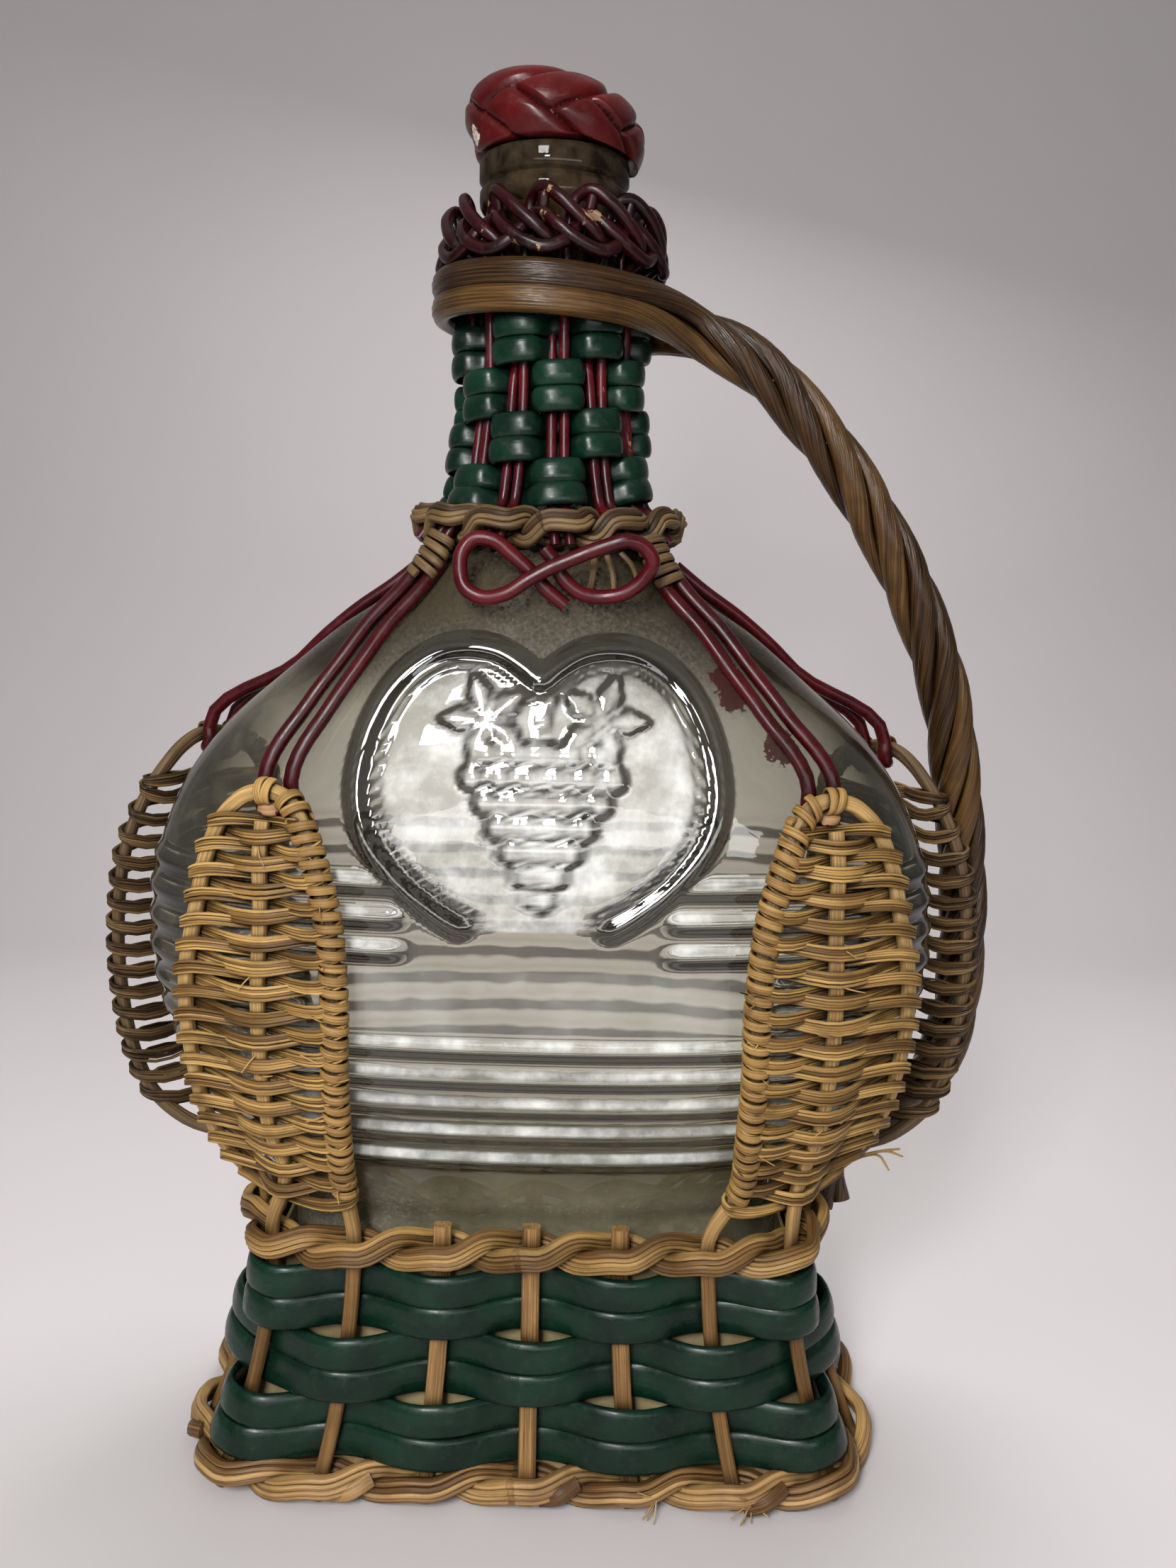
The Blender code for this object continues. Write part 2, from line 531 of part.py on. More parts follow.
def build_bottle():
    """The flask: outside from the heel to the lip, then the inside from the lip down."""
    flare = BODY_WIDEST_Z - GLASS_FLARE_Z
    shoulder = NECK_START_Z - BODY_WIDEST_Z
    rings = [glass_ring(BOTTLE_BASE_Z, HEEL_RADIUS),
             glass_ring(BOTTLE_BASE_Z + HEEL_RADIUS * 0.3, HEEL_RADIUS * 0.3),
             glass_ring(BOTTLE_BASE_Z + HEEL_RADIUS), glass_ring(GLASS_FLARE_Z)]
    for share in FLARE_SHARES:
        rings.append(glass_ring(GLASS_FLARE_Z + share * flare))
    for step in range(2 * RIB_COUNT + 1):
        rings.append(glass_ring(FIRST_RIB_Z + (step - 1) * RIB_PITCH / 2))
    last_rib_z = FIRST_RIB_Z + (RIB_COUNT - 0.5) * RIB_PITCH
    for share, _, _ in SHOULDER_SHARES:
        z = BODY_WIDEST_Z + share * shoulder
        if z > last_rib_z + RIB_PITCH / 2:
            rings.append(glass_ring(z))
    step_out = FINISH_RADIUS - NECK_RADIUS
    for height, out in FINISH_SHARES:
        rings.append(circle_ring(NECK_RADIUS + out * step_out, FINISH_START_Z + height * FINISH_HEIGHT))
    rings.append(circle_ring(NECK_RADIUS + LIP_EDGE_SHARE * step_out, FINISH_TOP_Z))
    rings.append(circle_ring(BORE_RADIUS, FINISH_TOP_Z))
    rings.append(circle_ring(BORE_RADIUS, FINISH_TOP_Z - BORE_LENGTH))
    for share in reversed(INNER_SHOULDER_SHARES):
        rings.append(glass_ring(BODY_WIDEST_Z + share * shoulder, BODY_WALL, False))
    for share in reversed(INNER_FLARE_SHARES):
        rings.append(glass_ring(GLASS_FLARE_Z + share * flare, BODY_WALL, False))
    floor_z = BOTTLE_BASE_Z + BOTTOM_WALL
    foot_inset = BODY_WALL + HEEL_RADIUS
    rings.append(glass_ring(floor_z + HEEL_RADIUS, BODY_WALL, False))
    rings.append(glass_ring(floor_z, foot_inset, False))
    shape = bmesh.new()
    loft(shape, rings)
    bottle = add_object("glass_bottle", shape, "glass")
    ridge = add_object("heart_ridge_guide", heart_ridge(), "glass")
    ridge.hide_render = True
    ridge.display_type = "WIRE"
    join = bottle.modifiers.new("heart_ridge", "BOOLEAN")
    join.operation = "UNION"
    join.solver = "EXACT"
    join.object = ridge
    return bottle


def build_stopper():
    """The cork and its red cap with a moulded plait round it."""
    radius = BORE_RADIUS - CORK_CLEARANCE
    top_z = CAP_BASE_Z - SEAT_GAP
    shape = bmesh.new()
    turns = [2 * math.pi * i / CORK_SEGMENTS for i in range(CORK_SEGMENTS)]
    rings = []
    for share, high in CORK_SHARES:
        r, z = radius * share, top_z - CORK_LENGTH * (1 - high)
        rings.append([Vector((r * math.cos(turn), r * math.sin(turn), z)) for turn in turns])
    loft(shape, rings)
    add_object("stopper_cork", shape, "cork")

    rings = []
    for wide, high, relief, lean in CAP_SHARES:
        skew = (CAP_STEP_SHARE if high > 0.5 else 0.0) - CAP_SKEW_SHARE * abs(high - 0.5)
        ring = []
        for i in range(CAP_SEGMENTS):
            phase = (i / CAP_SEGMENTS * CAP_LOBES + skew) % 1.0
            crown = 1 - (2 * phase - 1) ** 2
            r = CAP_RADIUS * wide - CAP_RELIEF * relief * (1 - crown)
            angle = 2 * math.pi * i / CAP_SEGMENTS
            x, y = r * math.cos(angle), r * math.sin(angle)
            ring.append(Vector((x, y, CAP_BASE_Z + high * CAP_HEIGHT - lean * CAP_LEAN_SLOPE * x)))
        rings.append(ring)
    shape = bmesh.new()
    loft(shape, rings)
    add_object("stopper_cap", shape, "red")


# The basket wall

def wall_size(z):
    """Half width, half depth and corner radius of the stakes' centre line at a height."""
    flare = max(1 - z / RIM_Z, 0.0) ** FLARE_POWER
    return (FOOT_HALF_WIDTH + WALL_STAND_OFF + FOOT_FLARE * flare,
            FOOT_HALF_DEPTH + WALL_STAND_OFF + FOOT_FLARE_DEPTH * flare,
            RIM_CORNER_RADIUS + FOOT_FLARE_CORNER * flare)


def wall_normal(level, z):
    """The wall's outward direction, which tips upwards where the wall flares to the foot."""
    steep = -FLARE_POWER / RIM_Z * max(1 - z / RIM_Z, 0.0) ** (FLARE_POWER - 1)
    growth = steep * (abs(level.x) * (FOOT_FLARE - FOOT_FLARE_CORNER)
                      + abs(level.y) * (FOOT_FLARE_DEPTH - FOOT_FLARE_CORNER) + FOOT_FLARE_CORNER)
    return (level - UP * growth).normalized()


def wall_point(stake, z, offset=0.0):
    """A point of the wall, counted in stakes from the front's middle towards +X."""
    wide, deep, corner = wall_size(z)
    run, side = wide - corner, deep - corner
    arc = math.pi / 2 * corner
    length = 4 * run + 4 * side + 4 * arc
    place = (stake / STAKE_COUNT * length) % length
    stretches = ((run, 0, -1), (arc, 1, -1), (2 * side, 0, 0), (arc, 1, 0), (2 * run, 0, 1),
                 (arc, 1, 1), (2 * side, 0, 2), (arc, 1, 2), (run, 0, 3))
    corners = ((run, -side), (run, side), (-run, side), (-run, -side))
    for index, (stretch, bend, turn) in enumerate(stretches):
        if place <= stretch or index == len(stretches) - 1:
            break
        place -= stretch
    if bend:
        angle = turn * math.pi / 2 + place / corner
        centre = corners[turn + 1]
        level = Vector((math.cos(angle), math.sin(angle), 0.0))
        normal = wall_normal(level, z)
        return Vector((centre[0], centre[1], z)) + level * corner + normal * offset, normal
    normal = wall_normal(Vector((math.cos(turn * math.pi / 2), math.sin(turn * math.pi / 2), 0.0)), z)
    starts = {-1: (0.0, -deep), 0: (wide, -side), 1: (run, deep), 2: (-wide, side), 3: (-run, -deep)}
    ways = {-1: (1, 0), 0: (0, 1), 1: (-1, 0), 2: (0, -1), 3: (1, 0)}
    x = starts[turn][0] + ways[turn][0] * place
    y = starts[turn][1] + ways[turn][1] * place
    return Vector((x, y, z)) + normal * offset, normal


def stake_spacing(z):
    """Distance between neighbouring stakes along the wall."""
    wide, deep, corner = wall_size(z)
    return (4 * (wide - corner) + 4 * (deep - corner) + 2 * math.pi * corner) / STAKE_COUNT


def wall_outline(z, offset, corner_steps):
    """Points round the wall at an offset, dense only at the corners."""
    wide, deep, corner = wall_size(z)
    ring = []
    for quarter, (sign_x, sign_y) in enumerate(((1, 1), (-1, 1), (-1, -1), (1, -1))):
        for step in range(corner_steps + 1):
            angle = math.pi / 2 * (quarter + step / corner_steps)
            level = Vector((math.cos(angle), math.sin(angle), 0.0))
            out = corner + offset / wall_normal(level, z).dot(level)
            ring.append(Vector((sign_x * (wide - corner), sign_y * (deep - corner), z)) + level * out)
    return ring


def build_board():
    """The base board, inside the foot strands."""
    clear = FOOT_SWING + FOOT_STRAND_RADIUS + LINER_GAP
    shape = bmesh.new()
    low = wall_outline(FOOT_RING_Z, -clear, CORNER_STEPS)
    low = [p - UP * p.z for p in low]
    loft(shape, [low, [p + UP * BOARD_THICKNESS for p in low]])
    add_object("base_board", shape, "wood", smooth=False)


def build_liner():
    """The thin card sleeve between the strips and the glass."""
    bottom_z = STRIPS_BOTTOM_Z
    top_z = RIM_Z - RIM_LIFT - RIM_STRAND_RADIUS - SEAT_GAP
    levels = [bottom_z + (top_z - bottom_z) * share for share in LINER_LEVEL_SHARES]
    rings = [wall_outline(z, -LINER_FACE, CORNER_STEPS) for z in levels]
    rings += [wall_outline(z, -LINER_FACE - LINER_THICKNESS, CORNER_STEPS) for z in reversed(levels)]
    shape = bmesh.new()
    loft(shape, rings, closed=True)
    add_object("basket_liner", shape, "card")


def build_strips():
    """Three rows of paired strips, each row over every second stake."""
    top_z = STRIPS_BOTTOM_Z + STRIP_ROWS * ROW_PITCH - ROW_GAP
    for row in range(STRIP_ROWS):
        for half, label in enumerate(("upper", "lower")):
            z = top_z - row * ROW_PITCH - STRIP_HEIGHT / 2 - half * (STRIP_HEIGHT + WEAVE_GAP)
            flat = STRIP_FLAT / stake_spacing(z)
            path, outward = [], []
            for stake in range(STAKE_COUNT):
                swing = STRIP_SWING if (stake + row) % 2 else -STRIP_SWING
                for place in (stake - flat, stake + flat):
                    point, normal = wall_point(place, z, swing)
                    path.append(point)
                    outward.append(normal)
            shape = bmesh.new()
            sweep(shape, path, outward, flat_section(STRIP_HEIGHT, STRIP_THICKNESS), closed=True)
            add_object("basket_strip_%d_%s" % (row + 1, label), shape, "green")


def twined_pair(names, count, point_at, half_flat, swing, lift, z, radius, finish):
    """Strands that twine round a ring of stakes. With an odd count one strand goes round twice."""
    section = round_section(radius, STRAND_SIDES)
    rounds = 1 if count % 2 == 0 else 2
    for strand, name in enumerate(names):
        path, outward = [], []
        for stake in range(count * rounds):
            stops = ((stake - half_flat, stake), (stake + half_flat, stake), (stake + 0.5, stake + 0.5))
            for place, turn in stops:
                phase = math.pi * (turn + strand)
                point, normal = point_at(place, z + lift * math.sin(phase), swing * math.cos(phase))
                path.append(point)
                outward.append(normal)
        shape = bmesh.new()
        sweep(shape, path, outward, section, closed=True)
        add_object(name, shape, finish)


def stake_leg(stake, top_z):
    """Points and directions of a stake inside the basket wall, from its foot up."""
    heights = [STAKE_FOOT_Z + (top_z - STAKE_FOOT_Z) * share for share in STAKE_LEVEL_SHARES]
    places = [wall_point(stake, z) for z in heights]
    return [p for p, _ in places], [n for _, n in places]


def build_short_stakes():
    """The cut stakes of the broad sides, which end just above the rim."""
    half_round = STAKE_COUNT // 2
    groups = {"front": (-1, 0, 1), "back": (half_round - 1, half_round, half_round + 1)}
    for side, stakes in groups.items():
        for number, stake in enumerate(stakes):
            path, outward = stake_leg(stake, RIM_TOP_Z + SHORT_STAKE_STAND)
            shape = bmesh.new()
            sweep(shape, path, outward, round_section(STAKE_RADIUS, STAKE_SIDES))
            add_object("short_stake_%s_%d" % (side, number + 1), shape, "stake")


# The four woven panels

def panel_rods(side, hand):
    """Stakes and free points of a panel's outer, centre and inner rod, and its arch."""
    if side == FRONT:
        tall = FRONT_ARCH_Z - RIM_Z
        shift = hand * FRONT_SHIFT_SHARE

        def off_glass(share, height_share):
            return on_glass(share + shift, RIM_Z + height_share * tall, PANEL_STAND_OFF, side, hand)[0]

        outer = [off_glass(o, s) for s, o, _ in FRONT_PANEL_SHARES]
        centre = [off_glass((o + i) / 2, s) for s, o, i in FRONT_PANEL_SHARES]
        inner = [off_glass(i, s) for s, _, i in FRONT_PANEL_SHARES]
        arch = [off_glass(share, s) for s, share in FRONT_ARCH_SHARES]
        stakes = [hand * number for number in (4, 3, 2)]
    else:
        tall = BACK_ARCH_Z - RIM_Z
        growth_x = BODY_HALF_WIDTH - FOOT_HALF_WIDTH
        growth_y = BODY_HALF_DEPTH - FOOT_HALF_DEPTH
        stakes = [STAKE_COUNT / 2 - hand * number for number in (4, 3, 2)]
        roots = [wall_point(stake, RIM_Z)[0] for stake in stakes]

        def beyond(root, s, x, y):
            return Vector((root.x + hand * x * growth_x, root.y + y * growth_y, RIM_Z + s * tall))

        outer = [beyond(roots[0], row[0], row[1], row[2]) for row in BACK_PANEL_SHARES]
        centre = [beyond(roots[1], row[0], row[3], row[4]) for row in BACK_PANEL_SHARES]
        inner = [beyond(roots[2], row[0], row[5], row[6]) for row in BACK_PANEL_SHARES]
        arch = [beyond(roots[0].lerp(roots[2], t), s, x, y) for s, t, x, y in BACK_ARCH_SHARES]
    return stakes, outer, centre, inner, arch


def level_normal(point):
    """The level direction away from the bottle."""
    normal = glass_normal(point.x, point.y, max(point.z, GLASS_FLARE_Z))
    return Vector((normal.x, normal.y, 0.0)).normalized()


def at_height(path, z):
    """The point of a rising path at a height."""
    for low, high in zip(path, path[1:]):
        if low.z <= z <= high.z:
            return low.lerp(high, (z - low.z) / (high.z - low.z))
    return path[-1].copy()


def build_panel(label, side, hand):
    """A panel: its bent frame rod, its centre rod, its ribbon and its hanger."""
    stakes, outer, centre, inner, arch = panel_rods(side, hand)
    start_z = RIM_Z + (FRONT_WEAVE_ABOVE_RIM if side == FRONT else BACK_WEAVE_ABOVE_RIM)
    section = round_section(STAKE_RADIUS, STAKE_SIDES)
    legs, leg_normals = [], []
    for stake, free in zip(stakes, (outer, centre, inner)):
        path, normals = stake_leg(stake, RIM_TOP_Z)
        legs.append(path + free)
        leg_normals.append(normals + [level_normal(p) for p in free])
    bend = smooth_path([outer[-1]] + arch + [inner[-1]], 2)[1:-1]
    shape = bmesh.new()
    sweep(shape, legs[0] + bend + legs[2][::-1],
          leg_normals[0] + [level_normal(p) for p in bend] + leg_normals[2][::-1], section)
    add_object("frame_rod_" + label, shape, "straw")

    arch_z = max(p.z for p in arch)
    stop_z = min(arch_z - ROD_STOP_BELOW_ARCH, legs[1][-1].z)
    centre_path = [p for p in legs[1] if p.z < stop_z - 2 * STAKE_RADIUS]
    centre_path.append(at_height(legs[1], stop_z))
    shape = bmesh.new()
    sweep(shape, centre_path, leg_normals[1][:len(centre_path) - 1] + [level_normal(centre_path[-1])],
          section)
    add_object("centre_rod_" + label, shape, "straw")

    build_weaver(label, legs[0], centre_path, legs[2], start_z, arch_z)
    build_hanger(label, side, hand, arch)


def build_weaver(label, outer, centre, inner, start_z, arch_z):
    """One ribbon that winds up the panel, over and under its three rods."""
    face = STAKE_RADIUS + WEAVER_THICKNESS / 2 + CREST_EASE
    pitch = (arch_z - WEAVE_STOP_BELOW_ARCH - start_z) / WEAVE_ROWS
    path, uprights = [], []

    def put(rod, z, across, out):
        start, end = at_height(outer, z), at_height(inner, z)
        chord = Vector((end.x - start.x, end.y - start.y, 0.0)).normalized()
        normal = Vector((chord.y, -chord.x, 0.0))
        if normal.dot(start) < 0:
            normal = -normal
        path.append(at_height(rod, z) + chord * across + normal * out)
        upright = at_height(rod, z + pitch / 2) - at_height(rod, z - pitch / 2)
        uprights.append(upright / upright.z)

    for row in range(WEAVE_ROWS):
        z = start_z + (row + 0.5) * pitch
        way = 1 if row % 2 == 0 else -1
        near, far = (outer, inner) if way > 0 else (inner, outer)
        if row == 0:
            put(near, z, 0.0, face)
        put(centre, z, 0.0, -way * face)
        put(far, z, 0.0, way * face)
        if row < WEAVE_ROWS - 1:
            put(far, z + pitch / 3, way * face, way * face * TURN_SHARE)
            put(far, z + 2 * pitch / 3, way * face, -way * face * TURN_SHARE)
            put(far, z + pitch, 0.0, -way * face)
    rings = []
    last = len(path) - 1
    for i, point in enumerate(path):
        ahead = (path[i + 1] - point).normalized() if i < last else Vector()
        behind = (point - path[i - 1]).normalized() if i > 0 else Vector()
        normal = (ahead + behind).cross(uprights[i]).normalized()
        rings.append([point + uprights[i] * u + normal * v
                      for u, v in flat_section(pitch - ROW_CLEARANCE, WEAVER_THICKNESS)])
    shape = bmesh.new()
    loft(shape, rings)
    add_object("panel_weaver_" + label, shape, "straw")


def build_hanger(label, side, hand, arch):
    """A red hairpin that lies on the shoulder and hooks under the panel's arch."""
    top = arch[1]
    away = level_normal(top)
    across = (arch[2] - arch[0])
    across.z = 0.0
    across.normalize()
    stand_off = HANGER_RADIUS + HANGER_EASE
    behind = STAKE_RADIUS + HANGER_RADIUS + 2 * WEAVE_GAP
    below = STAKE_RADIUS + HANGER_RADIUS + WEAVE_GAP
    start_z = COLLAR_BOTTOM_Z - SEAT_GAP - HANGER_RADIUS
    shares = FRONT_HANGER_SHARES if side == FRONT else BACK_HANGER_SHARES
    shift = hand * FRONT_SHIFT_SHARE if side == FRONT else 0.0
    legs = []
    for way in (-1.0, 1.0):
        leg = []
        for down, share in shares:
            z = start_z + (top.z - start_z) * down
            point, _ = on_glass(share + shift * down, z, stand_off, side, hand)
            spread = HANGER_ROOT_SPACING + (HANGER_SPACING - HANGER_ROOT_SPACING) * down
            leg.append(point + across * way * spread / 2)
        half = across * way * HANGER_SPACING / 2
        leg.append(top + half - away * behind + UP * below / 2)
        leg.append(top + half - away * behind - UP * below / 2)
        leg.append(top + half * HOOK_SHARES[0] - away * behind * HOOK_SHARES[1] - UP * below)
        legs.append(leg)
    path = legs[0] + [top - UP * below * HOOK_SHARES[2]] + legs[1][::-1]
    shape = bmesh.new()
    sweep(shape, path, carried_normals(path, away), round_section(HANGER_RADIUS, STAKE_SIDES))
    add_object("hanger_" + label, shape, "maroon")


# The neck sleeve

def neck_point(column, z, offset=0.0, stand_off=NECK_STAND_OFF):
    """A point of the neck sleeve, counted in columns, at an offset from the rods' centres."""
    wide, deep, power = glass_size(z)
    angle = 2 * math.pi * (column + 0.25) / COLUMN_COUNT - math.pi / 2
    x, y = outline_point(angle, wide, deep, power)
    normal = glass_normal(x, y, z)
    return Vector((x, y, z)) + normal * (stand_off + offset), normal


def column_share(length, z):
    """A length round the sleeve at a height, in columns."""
    wide, deep, _ = glass_size(z)
    radius = (wide + deep) / 2 + NECK_STAND_OFF
    return length / (2 * math.pi * radius) * COLUMN_COUNT


def build_neck_hairpins():
    """Red hairpins. Each column of the neck holds a rising leg and an earlier one's falling leg."""
    section = round_section(NECK_ROD_RADIUS, NECK_ROD_SIDES)
    feet = [(COLLAR_BOTTOM_Z, COLLAR_STAND_OFF),
            (COLLAR_TOP_Z - COLLAR_STRAND_RADIUS, COLLAR_STAND_OFF)]
    for share in ROD_EASE_SHARES:
        feet.append((COLLAR_TOP_Z + share * (NECK_START_Z - COLLAR_TOP_Z), NECK_STAND_OFF))
    half = NECK_ROD_SPACING / 2
    for column in range(COLUMN_COUNT):
        places = []
        for z, stand_off in feet:
            places.append(neck_point(column + column_share(half, z), z, 0.0, stand_off))
        inset = column_share(half, BORDER_Z)
        for passed, reach, rise in BORDER_SHARES:
            place = column + inset + passed * (HAIRPIN_COLUMN_COUNT - 2 * inset)
            places.append(neck_point(place, BORDER_Z + rise * BORDER_RISE, reach * BORDER_REACH))
        last = column + HAIRPIN_COLUMN_COUNT
        places.append(neck_point(last - inset, SLEEVE_TOP_Z, 0.0))
        for z, stand_off in reversed(feet):
            places.append(neck_point(last - column_share(half, z), z, 0.0, stand_off))
        shape = bmesh.new()
        sweep(shape, [p for p, _ in places], [n for _, n in places], section)
        add_object("neck_hairpin_%02d" % (column + 1), shape, "maroon")


def build_neck_strips():
    """Two strips side by side that spiral up the neck, over and under the rod pairs."""
    section = flat_section(NECK_STRIP_HEIGHT, NECK_STRIP_THICKNESS)
    climb = SLEEVE_TOP_Z - NECK_PITCH / 4 - NECK_STRIP_HEIGHT / 2 - SLEEVE_START_Z
    crossings = int(climb / NECK_PITCH * COLUMN_COUNT)
    half_flat = NECK_ROD_SPACING / 2 + NECK_ROD_RADIUS + WEAVE_GAP / 2
    for label, way in (("upper", 1.0), ("lower", -1.0)):
        path, outward = [], []
        for crossing in range(crossings):
            level_z = SLEEVE_START_Z + NECK_PITCH * crossing / COLUMN_COUNT + way * NECK_PITCH / 4
            swing = NECK_STRIP_SWING if crossing % 2 == 0 else -NECK_STRIP_SWING
            for hand in (-1.0, 1.0):
                shift = hand * column_share(half_flat, level_z)
                z = level_z + NECK_PITCH * shift / COLUMN_COUNT
                point, normal = neck_point(crossing + shift, z, swing)
                path.append(point)
                outward.append(normal)
        shape = bmesh.new()
        sweep(shape, path, outward, section)
        add_object("neck_strip_" + label, shape, "green")


def build_collar():
    """The cane collar, one strand twined twice round the feet of the neck rods."""
    def collar_point(column, z, offset):
        return neck_point(column, z, offset, COLLAR_STAND_OFF)
    half_flat = column_share(NECK_ROD_SPACING / 2 + NECK_ROD_RADIUS + WEAVE_GAP, COLLAR_Z)
    twined_pair(["collar_strand"], COLUMN_COUNT, collar_point, half_flat, COLLAR_SWING, COLLAR_LIFT,
                COLLAR_Z, COLLAR_STRAND_RADIUS, "collar")


def build_bow():
    """The red figure-eight in front of the collar."""
    depth = glass_size(COLLAR_Z)[1] + COLLAR_STAND_OFF + COLLAR_SWING + COLLAR_STRAND_RADIUS
    face = BOW_TUCK - (depth + SEAT_GAP + BOW_RADIUS)
    layer_gap = 2 * BOW_RADIUS + WEAVE_GAP
    path = []
    for x, high, layer in BOW_SHARES:
        path.append(Vector((BOW_SHIFT + x * BOW_HALF_WIDTH, face - layer * layer_gap,
                            BOW_BASE_Z + high * BOW_HEIGHT)))
    shape = bmesh.new()
    sweep(shape, path, [Vector((0.0, -1.0, 0.0))] * len(path), round_section(BOW_RADIUS, STAKE_SIDES))
    add_object("front_bow", shape, "maroon")


# The handle

def handle_axis():
    """Evenly spaced points down the middle of the twisted handle."""
    rise = SLING_UPPER_Z - RIM_Z
    reach = max(point.x for point in panel_rods(BACK, 1.0)[1]) + HANDLE_STAND_OUT
    route = []
    for start, rows in ((NECK_RADIUS, HANDLE_UPPER_SHARES), (wall_size(RIM_Z)[0], HANDLE_LOWER_SHARES)):
        for x, y, z in rows:
            route.append(Vector((start + x * (reach - start), y * HANDLE_SET_BACK, RIM_Z + z * rise)))
    off_wall = RIM_SWING + RIM_STRAND_RADIUS + SEAT_GAP + LAY_RADIUS + CANE_RADIUS
    for z in (RIM_Z, HANDLE_FOOT_Z):
        route.append(wall_point(HANDLE_STAKE_NUMBER, z, off_wall)[0])
    fine = smooth_path(route, ROUTE_STEPS)
    lengths = [0.0]
    for a, b in zip(fine, fine[1:]):
        lengths.append(lengths[-1] + (b - a).length)
    axis, place = [], 0
    for station in range(ROPE_STATIONS):
        want = lengths[-1] * station / (ROPE_STATIONS - 1)
        while place < len(fine) - 2 and lengths[place + 1] < want:
            place += 1
        share = (want - lengths[place]) / (lengths[place + 1] - lengths[place])
        axis.append(fine[place].lerp(fine[place + 1], share))
    return axis


def build_handle():
    """Two canes, each doubled round the neck, whose four legs twist into the handle."""
    axis = handle_axis()
    ups = carried_normals(axis, UP)
    for name, sling_z, angles in (("handle_cane_upper", SLING_UPPER_Z, (45, -45)),
                                  ("handle_cane_lower", SLING_LOWER_Z, (135, 225))):
        legs = []
        for angle in angles:
            leg = []
            for i, point in enumerate(axis):
                along = (axis[min(i + 1, len(axis) - 1)] - axis[max(i - 1, 0)]).normalized()
                turn = math.radians(angle) + 2 * math.pi * TWIST_TURNS * i / (len(axis) - 1)
                side = along.cross(ups[i])
                leg.append(point + (ups[i] * math.cos(turn) + side * math.sin(turn)) * LAY_RADIUS)
            legs.append(leg)
        sling = []
        for step in range(SLING_STEPS + 1):
            turn = -SLING_HALF_GAP - (2 * math.pi - 2 * SLING_HALF_GAP) * step / SLING_STEPS
            x, y = SLING_RADIUS * math.cos(turn), SLING_RADIUS * math.sin(turn)
            sling.append(Vector((x, y, sling_z - SLING_LEAN_SLOPE * x)))
        path = legs[0][::-1] + sling + legs[1]
        shape = bmesh.new()
        sweep(shape, path, carried_normals(path, UP.cross(path[1] - path[0])),
              round_section(CANE_RADIUS, STAKE_SIDES))
        add_object(name, shape, "handle")


# Main

def build_all():
    build_bottle()
    build_stopper()
    build_board()
    build_liner()
    build_strips()
    build_short_stakes()
    half_flat = (STAKE_RADIUS + WEAVE_GAP) / stake_spacing(RIM_Z)
    twined_pair(["rim_strand_a", "rim_strand_b"], STAKE_COUNT, wall_point, half_flat, RIM_SWING, RIM_LIFT,
                RIM_Z, RIM_STRAND_RADIUS, "rim")
    twined_pair(["foot_strand_a", "foot_strand_b"], STAKE_COUNT, wall_point, half_flat, FOOT_SWING,
                FOOT_LIFT, FOOT_RING_Z, FOOT_STRAND_RADIUS, "stake")
    for label, side, hand in (("front_left", FRONT, -1.0), ("front_right", FRONT, 1.0),
                              ("back_left", BACK, -1.0), ("back_right", BACK, 1.0)):
        build_panel(label, side, hand)
    build_neck_hairpins()
    build_neck_strips()
    build_collar()
    build_bow()
    build_handle()


build_all()
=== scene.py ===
"""Looks of the wicker-covered flask carafe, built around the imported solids.

Metres, +Z up, front towards -Y, origin at the middle of the base board's underside.
"""
import math
import random

import bpy
import numpy as np
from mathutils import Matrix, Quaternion, Vector


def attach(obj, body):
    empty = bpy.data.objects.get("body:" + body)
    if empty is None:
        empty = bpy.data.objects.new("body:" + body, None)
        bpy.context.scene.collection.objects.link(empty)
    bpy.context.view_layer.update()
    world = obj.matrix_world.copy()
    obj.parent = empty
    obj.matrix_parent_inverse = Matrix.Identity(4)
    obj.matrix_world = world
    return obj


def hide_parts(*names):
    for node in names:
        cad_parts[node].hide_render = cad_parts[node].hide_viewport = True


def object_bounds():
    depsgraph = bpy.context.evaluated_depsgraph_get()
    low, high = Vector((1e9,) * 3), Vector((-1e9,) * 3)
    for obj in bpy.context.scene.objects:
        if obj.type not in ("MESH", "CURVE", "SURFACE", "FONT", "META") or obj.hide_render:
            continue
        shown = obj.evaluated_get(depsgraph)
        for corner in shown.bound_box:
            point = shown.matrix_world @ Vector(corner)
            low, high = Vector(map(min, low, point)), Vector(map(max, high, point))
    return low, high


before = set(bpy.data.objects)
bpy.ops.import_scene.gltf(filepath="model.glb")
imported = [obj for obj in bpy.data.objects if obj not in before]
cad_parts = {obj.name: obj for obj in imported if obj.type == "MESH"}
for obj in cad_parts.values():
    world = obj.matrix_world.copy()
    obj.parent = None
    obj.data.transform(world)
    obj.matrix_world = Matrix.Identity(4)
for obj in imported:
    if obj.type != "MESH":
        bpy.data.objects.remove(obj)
cad_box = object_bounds()

# Clearances
SEAT_GAP = 0.0003            # between pieces that rest on each other
WEAVE_GAP = 0.00035          # between a strand and what it bends round

